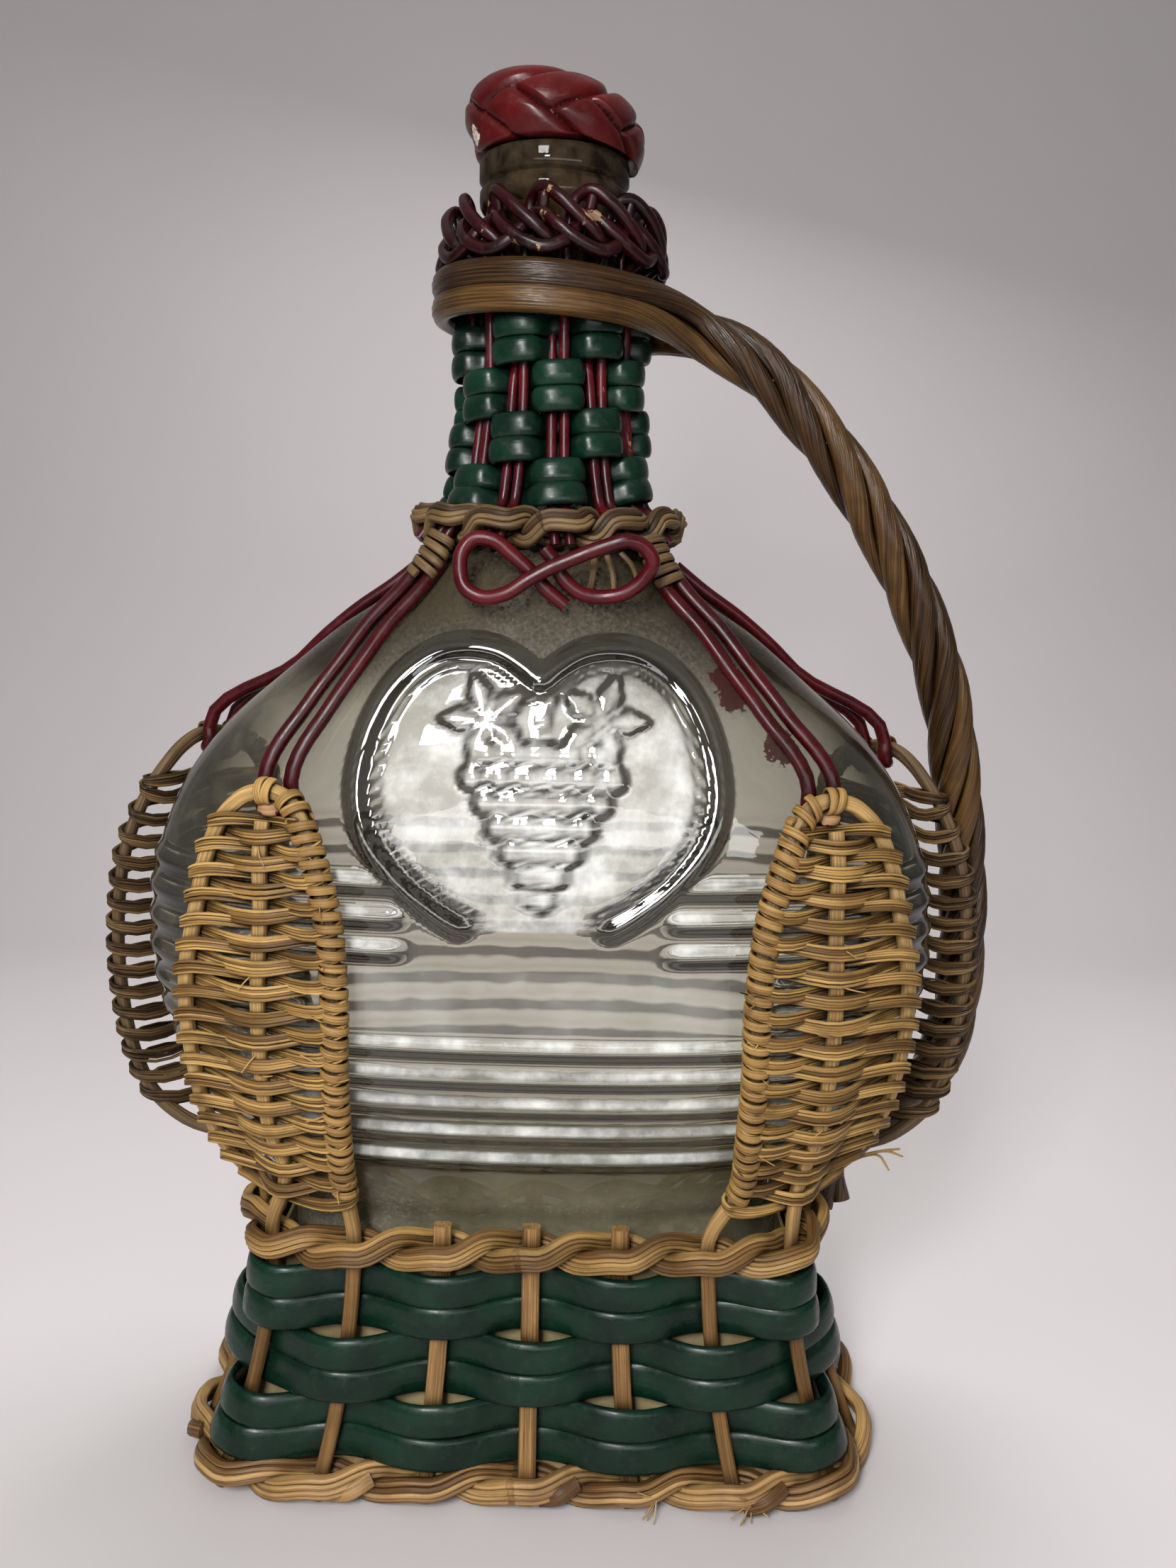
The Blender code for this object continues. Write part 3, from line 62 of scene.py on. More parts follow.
# Glass flask
BODY_HALF_WIDTH = 0.0880
BODY_HALF_DEPTH = 0.0400
BODY_WIDEST_Z = 0.1220
FOOT_HALF_WIDTH = 0.0570
FOOT_HALF_DEPTH = 0.0245
HEEL_RADIUS = 0.0050
NECK_RADIUS = 0.0145
NECK_START_Z = 0.2350
FINISH_LIFT = 0.0135         # from the sleeve's top up to the finish
FINISH_HEIGHT = 0.0110
FINISH_RADIUS = 0.0159
BORE_RADIUS = 0.0094
BORE_LENGTH = 0.0400
BODY_WALL = 0.0030
BOTTOM_WALL = 0.0060
BODY_SQUARENESS = 2.5        # power of the body's outline, 2 is an ellipse
ROUND_POWER = 2.0
RIB_COUNT = 10
RIB_PITCH = 0.00685
FIRST_RIB_Z = 0.0781
RIB_RELIEF = 0.0009
LOWER_RIBS = 5               # whole ribs below the smooth front band
BAND_RIBS = 2                # ribs that the front band interrupts
BAND_HALF_WIDTH = 0.0460
HEART_FIELD_HALF_WIDTH = 0.0250

# Heart ridge on the front
HEART_HALF_WIDTH = 0.0365
HEART_TOP_Z = 0.1875
HEART_BOTTOM_Z = 0.1310
RIDGE_WIDTH = 0.0050
RIDGE_RELIEF = 0.0012

# Base board
BOARD_THICKNESS = 0.0042

# Basket wall: stakes, strips, liner, rim and foot strands
STAKE_COUNT = 18
STAKE_RADIUS = 0.0015
STAKE_FOOT_Z = 0.0008
RIM_Z = 0.0570
RIM_CORNER_RADIUS = 0.0170
SHORT_STAKE_STAND = 0.0020   # how far a cut stake stands above the rim strands
FOOT_FLARE = 0.0142
FOOT_FLARE_DEPTH = 0.0055
FOOT_FLARE_CORNER = 0.0040
FLARE_POWER = 1.8
STRIP_HEIGHT = 0.0069
STRIP_THICKNESS = 0.0024
STRIP_ROWS = 3
ROW_GAP = 0.0005
LINER_THICKNESS = 0.0007
LINER_GAP = 0.0009
RIM_STRAND_RADIUS = 0.0017
FOOT_STRAND_RADIUS = 0.0018

# Woven panels
PANEL_STAND_OFF = 0.0054
FRONT_ARCH_Z = 0.1565
FRONT_SHIFT_SHARE = 0.030    # both front panels sit a little to the right
BACK_ARCH_Z = 0.1630
TURN_SHARE = 0.6             # how far out a ribbon still is beside its end rod
FRONT_WEAVE_ABOVE_RIM = 0.0100
BACK_WEAVE_ABOVE_RIM = 0.0145
WEAVE_STOP_BELOW_ARCH = 0.0085
ROD_STOP_BELOW_ARCH = 0.0060

# Neck sleeve
COLUMN_COUNT = 13
HAIRPIN_COLUMN_COUNT = 2     # columns between a hairpin's two legs
NECK_ROD_RADIUS = 0.00115
NECK_ROD_SPACING = 0.00265
NECK_STRIP_HEIGHT = 0.0043
NECK_ROW_GAP = 0.0008
SLEEVE_LIFT = 0.0014
NECK_STRIP_THICKNESS = 0.0014
SLEEVE_TOP_Z = 0.2635
BORDER_LIFT = 0.0030
BORDER_REACH = 0.0055
BORDER_RISE = 0.0110

# Collar, hangers and bow
COLLAR_Z = 0.2095
COLLAR_STRAND_RADIUS = 0.0016
HANGER_RADIUS = 0.0014
HANGER_SPACING = 0.0060
HANGER_ROOT_SPACING = 0.0042
HANGER_EASE = 0.0008
BOW_RADIUS = 0.0014
BOW_HALF_WIDTH = 0.0190
BOW_HEIGHT = 0.0125
BOW_BASE_Z = 0.1963
BOW_SHIFT = 0.0020
BOW_TUCK = 0.0037            # how far the bow lies in under the swell of the collar

# Handle
CANE_RADIUS = 0.0022
LAY_RADIUS = 0.0036
TWIST_TURNS = 3.5
ROPE_STATIONS = 26
ROUTE_STEPS = 8              # a stretch, where the handle's route is measured
SLING_HALF_GAP = math.radians(52)     # from the handle to where the slings leave the neck
SLING_STEPS = 12
SLING_EASE = 0.0006
SLING_DROP = 0.0031
SLING_LEAN_SLOPE = 0.06      # slope of the slings, which sit lower toward the handle
HANDLE_STAND_OUT = 0.0032    # from the widest back rod out to the handle's middle
HANDLE_SET_BACK = 0.0190
HANDLE_STAKE_NUMBER = 5.45   # place round the rim, counted in stakes from the front
HANDLE_FOOT_Z = 0.0430

# Stopper
CORK_CLEARANCE = 0.0003
CORK_LENGTH = 0.0250
CAP_RADIUS = 0.0190
CAP_HEIGHT = 0.0160
CAP_LEAN_SLOPE = 0.13        # slope of the cap, which sits askew and lower on the right
CAP_LOBES = 7

# Half widths and depths of the shoulder, as shares of what the body has over the neck,
# against the share of the way from the widest level up to the neck
SHOULDER_SHARES = (
    (0.000, 1.000, 1.000), (0.115, 0.989, 0.992), (0.221, 0.946, 0.961),
    (0.327, 0.864, 0.890), (0.425, 0.741, 0.784), (0.513, 0.585, 0.647),
    (0.602, 0.422, 0.490), (0.655, 0.300, 0.400), (0.717, 0.181, 0.294),
    (0.761, 0.116, 0.216), (0.805, 0.069, 0.145), (0.867, 0.031, 0.071),
    (0.956, 0.007, 0.016), (1.000, 0.000, 0.000),
)
INNER_SHOULDER_SHARES = (0.24, 0.42, 0.56, 0.68, 0.80, 0.92)
STAKE_LEVEL_SHARES = (0.0, 0.22, 0.48, 0.8, 1.0)
# Heart outline, right half, from the cusp to the open lower end
HEART_SHARES = (
    (0.00, 0.880), (0.10, 0.935), (0.24, 0.985), (0.42, 1.000), (0.60, 0.975), (0.78, 0.890),
    (0.91, 0.760), (0.985, 0.600), (1.00, 0.450), (0.93, 0.300), (0.76, 0.160), (0.57, 0.060),
    (0.42, 0.000),
)
# Front panel: share of the height from rim to arch, then outer and inner rod as shares of
# the glass's half width at that height
FRONT_PANEL_SHARES = (
    (0.18, 0.950, 0.592), (0.30, 0.910, 0.538), (0.43, 0.861, 0.500), (0.62, 0.824, 0.473),
    (0.77, 0.796, 0.490), (0.88, 0.789, 0.536), (0.955, 0.770, 0.588),
)
FRONT_ARCH_SHARES = ((0.987, 0.740), (1.0, 0.684), (0.987, 0.628))
# Back panel: height share, then for the side rod, the centre rod and the rear rod how far it
# has left its stake, as shares of the body's growth beyond the foot in width and in depth
BACK_PANEL_SHARES = (
    (0.066, 0.234, -0.065, 0.155, 0.071, 0.108, 0.113),
    (0.115, 0.745, -0.181, 0.438, 0.071, 0.420, 0.281),
    (0.180, 0.978, -0.233, 0.651, 0.046, 0.667, 0.358),
    (0.280, 1.114, -0.272, 0.807, -0.006, 0.860, 0.376),
    (0.420, 1.191, -0.292, 0.907, -0.058, 0.980, 0.358),
    (0.600, 1.199, -0.298, 0.941, -0.084, 1.031, 0.314),
    (0.770, 1.108, -0.272, 0.898, -0.096, 1.008, 0.216),
    (0.900, 0.921, -0.104, 0.844, -0.251, 1.051, -0.042),
)
# Its arch: height share, place between the outer stakes, then the same shares
BACK_ARCH_SHARES = ((0.970, 0.25, 0.958, -0.159), (1.0, 0.5, 0.987, -0.112), (0.970, 0.75, 0.973, 0.065))
# Neck rods above the collar, as shares of the way to the straight neck
ROD_EASE_SHARES = (0.06, 0.30, 0.62, 1.0)
# Hairpin arch of the neck border: share of the way, share of the reach, share of the rise
BORDER_SHARES = (
    (0.00, 0.00, 0.00), (0.03, 0.00, 0.50), (0.10, 0.14, 0.88), (0.24, 0.50, 1.00), (0.44, 0.86, 0.80),
    (0.64, 1.00, 0.50), (0.82, 1.00, 0.24), (0.95, 0.78, 0.04), (1.00, 0.20, -0.20),
)
# Hangers, from the collar down: share of the height down to the arch, share of the half width
FRONT_HANGER_SHARES = (
    (0.03, 0.80), (0.15, 0.765), (0.30, 0.735), (0.46, 0.715), (0.66, 0.70), (0.90, 0.685),
)
HOOK_SHARES = (0.9, 0.6, 1.15)        # how a hanger's hook closes: width, depth and drop
BACK_HANGER_SHARES = ((0.03, 0.93), (0.16, 0.945), (0.30, 0.95), (0.45, 0.95), (0.60, 0.945))
# Handle route: share of the way out from the neck, or lower down from the rim, to the full
# reach, share of the set-back, share of the rise from rim to sling
HANDLE_UPPER_SHARES = (
    (0.182, 0.00, 0.970), (0.355, 0.00, 0.932), (0.535, 0.03, 0.850), (0.630, 0.06, 0.792),
    (0.744, 0.14, 0.712), (0.856, 0.34, 0.606), (0.928, 0.66, 0.499), (0.965, 0.88, 0.430),
)
HANDLE_LOWER_SHARES = (
    (0.974, 0.98, 0.365), (1.000, 1.00, 0.290), (0.987, 1.04, 0.190), (0.872, 1.12, 0.110),
    (0.654, 1.18, 0.060),
)
# Bow, from the collar's middle round both loops to the cut end: x share, height share, layer
BOW_SHARES = (
    (-0.10, 0.86, 0.0), (0.00, 0.68, 0.0), (0.10, 0.40, 0.0), (0.28, 0.17, 0.0),
    (0.52, 0.10, 0.0), (0.80, 0.20, 0.2), (0.98, 0.45, 0.4), (1.05, 0.68, 0.6),
    (0.96, 0.90, 0.8), (0.78, 1.00, 1.0), (0.60, 0.93, 1.0), (0.40, 0.82, 1.0),
    (0.18, 0.68, 1.0), (-0.05, 0.53, 1.0), (-0.26, 0.35, 1.0), (-0.50, 0.12, 1.0),
    (-0.75, 0.06, 0.8), (-0.93, 0.22, 0.6), (-0.98, 0.48, 0.4), (-0.96, 0.78, 0.2),
    (-0.85, 0.98, 0.0), (-0.62, 0.96, 0.0), (-0.44, 0.75, 0.0), (-0.25, 0.50, 0.0),
    (-0.08, 0.22, 0.0), (0.14, -0.05, 0.0),
)

UP = Vector((0.0, 0.0, 1.0))
FRONT = -1.0
BACK = 1.0
PANELS = (("front_left", FRONT, -1.0), ("front_right", FRONT, 1.0),
          ("back_left", BACK, -1.0), ("back_right", BACK, 1.0))


# Values that follow from the sizes above
BOTTLE_BASE_Z = BOARD_THICKNESS + SEAT_GAP
STRIP_SWING = STAKE_RADIUS + STRIP_THICKNESS / 2 + WEAVE_GAP
STRIP_FLAT = STAKE_RADIUS + WEAVE_GAP
LINER_FACE = STRIP_SWING + STRIP_THICKNESS / 2 + LINER_GAP
WALL_STAND_OFF = LINER_FACE + LINER_THICKNESS + SEAT_GAP
RIM_SWING = STAKE_RADIUS + RIM_STRAND_RADIUS + WEAVE_GAP
FOOT_SWING = STAKE_RADIUS + FOOT_STRAND_RADIUS + WEAVE_GAP
COLLAR_SWING = NECK_ROD_RADIUS + COLLAR_STRAND_RADIUS + WEAVE_GAP
NECK_STRIP_SWING = NECK_ROD_RADIUS + NECK_STRIP_THICKNESS / 2 + WEAVE_GAP
NECK_STAND_OFF = NECK_STRIP_SWING + NECK_STRIP_THICKNESS / 2 + SEAT_GAP
COLLAR_STAND_OFF = COLLAR_SWING + COLLAR_STRAND_RADIUS + SEAT_GAP


def twine_lift(swing, radius):
    """Height of a strand's crossing over its partner, so that the two clear each other."""
    need = 2 * radius + WEAVE_GAP
    across = 2 * swing
    return need * across / math.sqrt(across * across - need * need) / 2


RIM_LIFT = twine_lift(RIM_SWING, RIM_STRAND_RADIUS)
FOOT_LIFT = twine_lift(FOOT_SWING, FOOT_STRAND_RADIUS)
COLLAR_LIFT = twine_lift(COLLAR_SWING, COLLAR_STRAND_RADIUS)
FOOT_RING_Z = SEAT_GAP + FOOT_LIFT + FOOT_STRAND_RADIUS
STRIPS_BOTTOM_Z = FOOT_RING_Z + FOOT_LIFT + FOOT_STRAND_RADIUS + SEAT_GAP
RIM_TOP_Z = RIM_Z + RIM_LIFT + RIM_STRAND_RADIUS
GLASS_FLARE_Z = RIM_TOP_Z + SEAT_GAP
ROW_PITCH = 2 * STRIP_HEIGHT + WEAVE_GAP + ROW_GAP
FINISH_START_Z = SLEEVE_TOP_Z + FINISH_LIFT
FINISH_TOP_Z = FINISH_START_Z + FINISH_HEIGHT
CAP_BASE_Z = FINISH_TOP_Z + SEAT_GAP
NECK_PITCH = 2 * (NECK_STRIP_HEIGHT + NECK_ROW_GAP)
BORDER_Z = SLEEVE_TOP_Z + BORDER_LIFT
SLING_UPPER_Z = SLEEVE_TOP_Z - SLING_DROP
SLING_LOWER_Z = SLING_UPPER_Z - 2 * CANE_RADIUS - WEAVE_GAP
SLEEVE_FACE = NECK_RADIUS + NECK_STAND_OFF + NECK_STRIP_SWING + NECK_STRIP_THICKNESS / 2
SLING_RADIUS = SLEEVE_FACE + SLING_EASE + CANE_RADIUS
COLLAR_BOTTOM_Z = COLLAR_Z - COLLAR_LIFT - COLLAR_STRAND_RADIUS
COLLAR_TOP_Z = COLLAR_Z + COLLAR_LIFT + COLLAR_STRAND_RADIUS
SLEEVE_START_Z = COLLAR_TOP_Z + SLEEVE_LIFT + NECK_PITCH / 4 + NECK_STRIP_HEIGHT / 2

# What the looks add to the solids
SMALL = 1e-9
STEPS = 6                    # in each stretch of a strand's path
EASY_STEPS = 2               # the same where the path is refined again later
FINE_STEPS = 7
END_STEPS = 8
STUB_STEPS = 4

# Sections of strands: squareness, points round, then grooves, their depth and sharpness
SECTIONS = {
    "strip": (2.5, 26), "sleeve_strip": (2.3, 24), "band": (2.2, 8), "hanger": (2.1, 16), "bow": (2.0, 16),
    "stake": (3.4, 24, 9, 0.05), "twine": (2.4, 14, 4, 0.10, 3), "end": (2.2, 10, 3, 0.08),
    "panel_rod": (2.8, 20, 7, 0.06), "wrap": (2.4, 12, 4, 0.10, 2), "hairpin": (2.0, 14, 5, 0.05),
    "stub": (2.6, 14, 5, 0.08), "handle": (2.05, 30, 11, 0.06, 3),
}

# Flask, and the painted highlight (haze and gleam) and painted shade marks on it
SEGMENTS = 480
FINE_STEP = 0.0007
HEEL_STEPS = 6
FADE = 0.004                 # over which the ribs end beside a smooth field
LIP_ROUND = 0.0008
# Finish: share of its height, share of how far it stands out from the neck
LIP_SHARES = (
    (0.0, 0.0), (0.06, 0.55), (0.13, 0.86), (0.25, 0.95), (0.38, 0.92), (0.44, 0.60), (0.50, 0.30),
    (0.55, 0.70), (0.60, 1.0), (0.75, 1.0), (0.90, 1.0), (0.97, 0.85), (1.0, 0.55),
)
HEART_STEPS = 5              # in each stretch of the heart's outline
RIB_SHARPNESS = 1.3
RIDGE_SHARPNESS = 0.8
BEAD_INSET = 0.0043          # of the fine line inside the heart
BEAD_HALF_WIDTH = 0.0007
BEAD_RELIEF = 0.00040
UPPER_SIDE_SHADE_SHARE = 0.12      # painted shade: how dark a rib's upper side is beside its lower one
# Painted highlight: a gleam on the ribs' upper sides near the middle, and a lighter sheen over the smooth
# band
RIB_GLEAM = 5.0
GLEAM_SLOPE = 0.12
GLEAM_HALF_WIDTH = 0.070
GLEAM_FADE = 0.025
BAND_PAINTED_SHEEN = 0.20

# Grapes and leaves inside the heart
GRAPE_ROWS = (5, 6, 5, 4, 3, 2, 1)
GRAPE_PITCH = 0.0056
GRAPE_ROW_SHARE = 0.86       # distance of the rows, as a share of the pitch
GRAPE_RADIUS = 0.0031
GRAPE_RELIEF = 0.0009
BUNCH_X = 0.001
BUNCH_TOP_Z = 0.1665
LEAF_REACH = 0.0115
LEAF_RISE = 0.0065
LEAF_RADIUS = 0.0105
LEAF_EDGE = (0.72, 0.22, 0.06)        # the leaf's middle, its five lobes and its teeth
LEAF_LOBES = 5
LEAF_VEINS = 0.25
LEAF_BEVEL = 0.0014
LEAF_RELIEF = 0.0007
STEM_LENGTH = 0.012
STEM_RADIUS = 0.0012
STEM_LEAN = 0.3

# Cap and cork
CAP_LEVELS = 100
CAP_RING = 336
CAP_OUTLINE = (
    (0.0, 0.60, 0.0), (0.10, 0.868, 0.0), (0.14, 0.93, 0.05), (0.25, 1.0, 0.28), (0.36, 0.985, 0.50),
    (0.47, 0.90, 0.70), (0.59, 0.72, 0.85), (0.73, 0.48, 0.94), (0.87, 0.24, 0.985), (1.0, 0.01, 0.99),
)
CAP_LEAN_FROM = (0.10, 0.14)          # shares of the way up between which the lean sets in
CAP_LOW = 0.235              # share of the way up at which straps meet lowest
CAP_SLOPE = 3.2
CAP_TURN = 0.79
CAP_DIVE = 0.04              # over which a strap goes down under the next
CAP_CREST = 4.6
CAP_GROOVE = 0.0017
CAP_GROOVE_LEVELS = (0.0, 0.06, 0.14, 0.86, 1.0)
CAP_GROOVE_DEPTHS = (0.0, 0.6, 1.0, 0.9, 0.0)
CORK_RING = 48
CORK_SHARES = ((0.84, 1.0), (0.90, 0.985), (0.97, 0.9), (1.0, 0.7), (1.0, 0.0))     # radius, depth

# Basket wall and its ends
STRIP_WANDER = 0.00015
STRIP_SWELL = 1.10
STRIP_CRESTS = (1.14, 1.06)  # width of a strip behind a stake and before it
STAKE_WIDTH = 0.0040
SPLIT_OVERLAP = 1.3          # width of a split over its share of the strand
SPLIT_ARCH = 0.30            # how far the middle splits stand out, over the strand's radius
SPLIT_SINK = 0.8
RIM_LOOK = (5, 1.40, 1.50, 0.14)      # splits, width and thickness over the strand's, wander
FOOT_LOOK = (4, 1.30, 1.55, 0.10)
COLLAR_LOOK = (4, 1.30, 1.50, 0.14)
FOOT_LIFT_SHARE = 0.85
FOOT_RAISE_SHARE = 0.3
FOOT_ENDS = (
    (-3.5, -1.0, 0.0085), (-1.5, -1.0, 0.0090), (0.5, -1.0, 0.0085), (2.5, -1.0, 0.0090),
    (7.5, -1.0, 0.0085), (9.5, -1.0, 0.0085), (11.5, -1.0, 0.0085),
)
FOOT_END_WIDTH = 0.0038
FOOT_TUFTS = (1.25, 2.15)
HAIRS_PER_TUFT = 7
FOOT_END_AHEAD = 0.2         # stakes ahead, where a cut end points
FOOT_END_DROP = 0.86
FOOT_END_SINK = 0.3
FOOT_END_BULGE = 0.55
MOST_SEED = 5.0              # most that a split's grain is shifted
HAIR_WIDTH = 0.00032
HAIR_FLATNESS = 0.8
HAIR_LENGTH = 0.0055
END_TAPER = ((0.0, 0.7, 1.0), (1.0, 0.92, 0.70))

# Panels
FIBRE_THICKNESS = 0.00085
PANEL_ROD_WIDTH = 0.0033
PANEL_ROD_DEPTH = 0.0026
BAND_PITCH = 0.0026
BAND_FIBRES = 5
BAND_WIDTH = 0.0026
BAND_OVERLAP = 1.25
BAND_WANDER = 0.42
BAND_SWELL = 0.14
BAND_TONES = 0.9
START_WIDEN = 1.1            # width of the band at its start, behind and before the centre rod,
BEHIND_WIDEN = 0.85          # at the end rods and where it turns round them
BEFORE_WIDEN = 1.2
END_WIDEN = 1.12
TURN_WIDEN = 0.8
TOP_ROW_SHARE = 0.55
SAG_LEAST = 0.0003
SAG_MOST = 0.0020
WRAP_STEPS = 18
WRAP_WIDTH = 0.0021
WRAP_PITCH = 0.0025
ARCH_WRAP_HALF = 0.0017
KNOT_TIGHTNESS = 1.1
WRAP_FLATNESS = 0.9
ROD_WRAP = (0.7, 0.55)       # distance off the rod in splits, and tone
ARCH_WRAP = (0.5, 0.7)
BEND_WRAP = (0.6, 0.5)
HANGER_WIDEN = 1.12
PANEL_HAIRS = 12
STRAY_WIDEN = 2.2
STRAY_THICKEN = 1.5
# Long ends on the front right panel: rise above the foot of the weave, fall and length
STRAY_ENDS = ((0.0045, 0.0015, 0.013), (0.0040, 0.0035, 0.015), (0.0035, 0.0055, 0.011))

# Neck sleeve, collar and handle
BORDER_SWELL = 1.20
# The border's second, outer round: share of the way, of the reach and of the rise
SWAG_SHARES = (
    (0.0, 0.05, 0.62), (0.10, 0.50, 0.56), (0.25, 0.95, 0.30), (0.45, 1.10, 0.02), (0.65, 1.10, -0.10),
    (0.83, 0.98, 0.08), (0.95, 0.70, 0.36), (1.0, 0.30, 0.52),
)
SWAG_SHIFT = 0.4
SWAG_SWELL = 1.22
SLEEVE_TUCK = 6              # crossings by which the strips start lower, behind the collar
SLEEVE_SWELL = 1.5
SLEEVE_CRESTS = (1.12, 1.20)
PILLOW_SPREAD = 1.28
STUB_COLUMN = 0.5
STUB_LEAN = 0.12
STUB_RISE = 0.0100
STUB_REACH = 0.0030
STUB_WIDTH = 0.0025
STUB_FLATNESS = 0.8
STUB_SHARES = (0.0, 0.4, 0.75, 1.0)
KNOT_WIDTH = 0.0021
KNOT_PITCH = 0.0023
KNOT_RISE = 0.0030
KNOT_DROP = 0.0045
KNOT_LEVELS = 6
KNOT_SWING_SHARE = 0.8
KNOT_ASIDE = 1.25
KNOT_DEPTH = 1.6
TIE_END_SHARE = 0.7
KNOT_SHARE = 0.79            # place of the knots, as a share of the glass's half width
# Cut ends of the ties: x, z, how far aside and how far down
TIE_ENDS = (
    (0.0119, 0.2045, 0.0015, 0.0085), (0.0145, 0.2050, 0.0035, 0.0065), (0.0095, 0.2040, -0.0010, 0.0075),
)
BOW_WIDEN = 1.08
LAY_SHARE = 0.94             # of the CAD's lay, so that the legs close up
HANDLE_LEG_WIDEN = 0.94
HANDLE_WIDEN = 1.34
HANDLE_FLATNESS = 0.97
HANDLE_RAISE = 0.16

# Finishes. Heights are those between which one look passes into the next.
DUST = (0.35, 0.33, 0.28)
CREVICE_REACH = 0.003
CANE_BUMP = 0.00030
PAINT_BUMP = 0.00010
GLASS_BUMP = 0.0007
LOW_DARKENING_Z = (0.072, 0.052)
LOWER_BORDER_Z = (0.264, 0.258)
LIP_DUST_Z = (0.255, 0.268)
SHOULDER_DUST_Z = (0.168, 0.199)
FOOT_DUST_Z = (0.076, 0.066)
# Noises, by scale, detail and roughness; grains along and across the lay
CANE_FIBRES = (50.0, 2600.0)
CANE_STREAKS = (22.0, 520.0, 2.0)
CANE_SMUDGES = (75.0, 4.0)
PAINT_POOLS = (90.0, 3.0)
PAINT_LINES = (40.0, 700.0)
PAINT_DUST = (420.0, 4.0, 0.7)
PAINT_CHIPS = (160.0, 5.0, 0.6)
BARE_CANE = (30.0, 1500.0)
SPOT_EDGE = (700.0, 4.0, 0.65)
GLASS_FILM = (24.0, 5.0, 0.65)
GLASS_WAVES = (55.0, 2.0, 0.4)
GLASS_GRIT = (1100.0, 3.0, 0.7)
LIP_STAIN = (260.0, 4.0, 0.6)
PAINTED_SILVER_NOISE = (95.0, 4.0, 0.6)
# Colours of the glass, from face-on to edge-on, darkening edge-on as painted shade for the dark room it
# reflects, and of the dust on it
GLASS_TINTS_AND_EDGE_SHADE = ((0.0, (0.87, 0.86, 0.79)), (0.26, (0.46, 0.45, 0.36)), (0.58, (0.070, 0.064, 0.045)))
# Painted shade on steep places and on the heart's ridge
STEEP_SHADE = (0.012, 0.011, 0.008)
RIDGE_SHADE = (0.022, 0.021, 0.016)
LIP_TINT = (0.060, 0.042, 0.026)
LOW_DUST = ((0.35, (0.20, 0.18, 0.13)), (0.65, (0.42, 0.385, 0.29)))
SHOULDER_DUST = ((0.35, (0.014, 0.010, 0.006)), (0.65, (0.055, 0.043, 0.025)))
LIP_DUST = ((0.38, (0.008, 0.005, 0.003)), (0.66, (0.052, 0.035, 0.021)))
DYE = (0.034, 0.002, 0.004)
# Painted highlight colour, for the sheen inside the heart, on the ribs and on the band
PAINTED_SHEEN_COLOUR = (0.84, 0.85, 0.82)
GLASS_SHADOW = (0.72, 0.74, 0.70)
GLASS_IOR = 1.5
LOW_DARKENING = (0.40, 0.33, 0.27)
EVEN = ((0.35, 0.0), (0.65, 1.0))     # stops that share out two colours by pools
CHIP_PLACE = (-0.0170, -0.0072, 0.2906)
CHIP_RADIUS = 0.0020
BORDER_SCARS = (((0.0086, -0.0220, 0.2726), 0.0024), ((-0.0074, -0.0220, 0.2786), 0.0022))
BOW_SCARS = (((-0.0051, -0.0280, 0.2004), 0.0011),)
HANGER_SCAR_RADIUS = 0.0027
DYE_PLACES = ((0.0391, 0.178, 0.0034), (0.0495, 0.168, 0.0040), (0.0370, 0.1814, 0.0028))
# Dark, middle and light colour, scale of the mottling, roughness and depth
SPECKLED = {
    "cork": ((0.16, 0.09, 0.04), (0.42, 0.27, 0.13), (0.56, 0.38, 0.20), 320.0, 0.8, 0.0004),
    "base_wood": ((0.22, 0.13, 0.06), (0.42, 0.28, 0.14), (0.52, 0.37, 0.2), 90.0, 0.7, 0.0004),
    "liner_card": ((0.13, 0.095, 0.045), (0.24, 0.185, 0.095), (0.36, 0.285, 0.155), 60.0, 0.45, 0.0002),
}
# Dark, middle, light and stain colour, roughness, share of the colour left in the crevices' painted shade,
# share of stain, and whether the cane darkens towards the rim
CANES = {
    "foot_cane": ((0.087, 0.039, 0.012), (0.27, 0.147, 0.0495), (0.495, 0.3, 0.117),
                  (0.0675, 0.0285, 0.0105), 0.45, 0.20, 0.5),
    "rim_cane": ((0.0825, 0.039, 0.0105), (0.225, 0.12, 0.0345), (0.413, 0.247, 0.0825),
                 (0.0645, 0.03, 0.009), 0.50, 0.20, 0.6),
    "panel_cane": ((0.15, 0.078, 0.0225), (0.33, 0.195, 0.0645), (0.54, 0.348, 0.132),
                   (0.112, 0.0525, 0.015), 0.55, 0.20, 0.4, True),
    "weave_cane": ((0.117, 0.0585, 0.015), (0.3, 0.167, 0.0465), (0.525, 0.323, 0.105),
                   (0.078, 0.0345, 0.009), 0.55, 0.14, 0.65),
    # Painted shade: the back panels' rod and weave canes are darker copies of the front ones
    "shaded_back_cane": ((0.024, 0.011, 0.005), (0.072, 0.039, 0.016), (0.15, 0.092, 0.040),
                  (0.018, 0.008, 0.003), 0.55, 0.2, 0.5),
    "shaded_back_weave_cane": ((0.030, 0.015, 0.006), (0.088, 0.048, 0.019), (0.19, 0.115, 0.047),
                        (0.022, 0.010, 0.004), 0.55, 0.2, 0.65),
    "collar_cane": ((0.030, 0.015, 0.006), (0.085, 0.048, 0.019), (0.185, 0.113, 0.048),
                    (0.024, 0.011, 0.004), 0.55, 0.2, 0.6),
    "handle_cane": ((0.015, 0.006, 0.0018), (0.057, 0.0263, 0.0072), (0.138, 0.0705, 0.0203),
                    (0.012, 0.0045, 0.0015), 0.30, 0.2, 0.55),
}
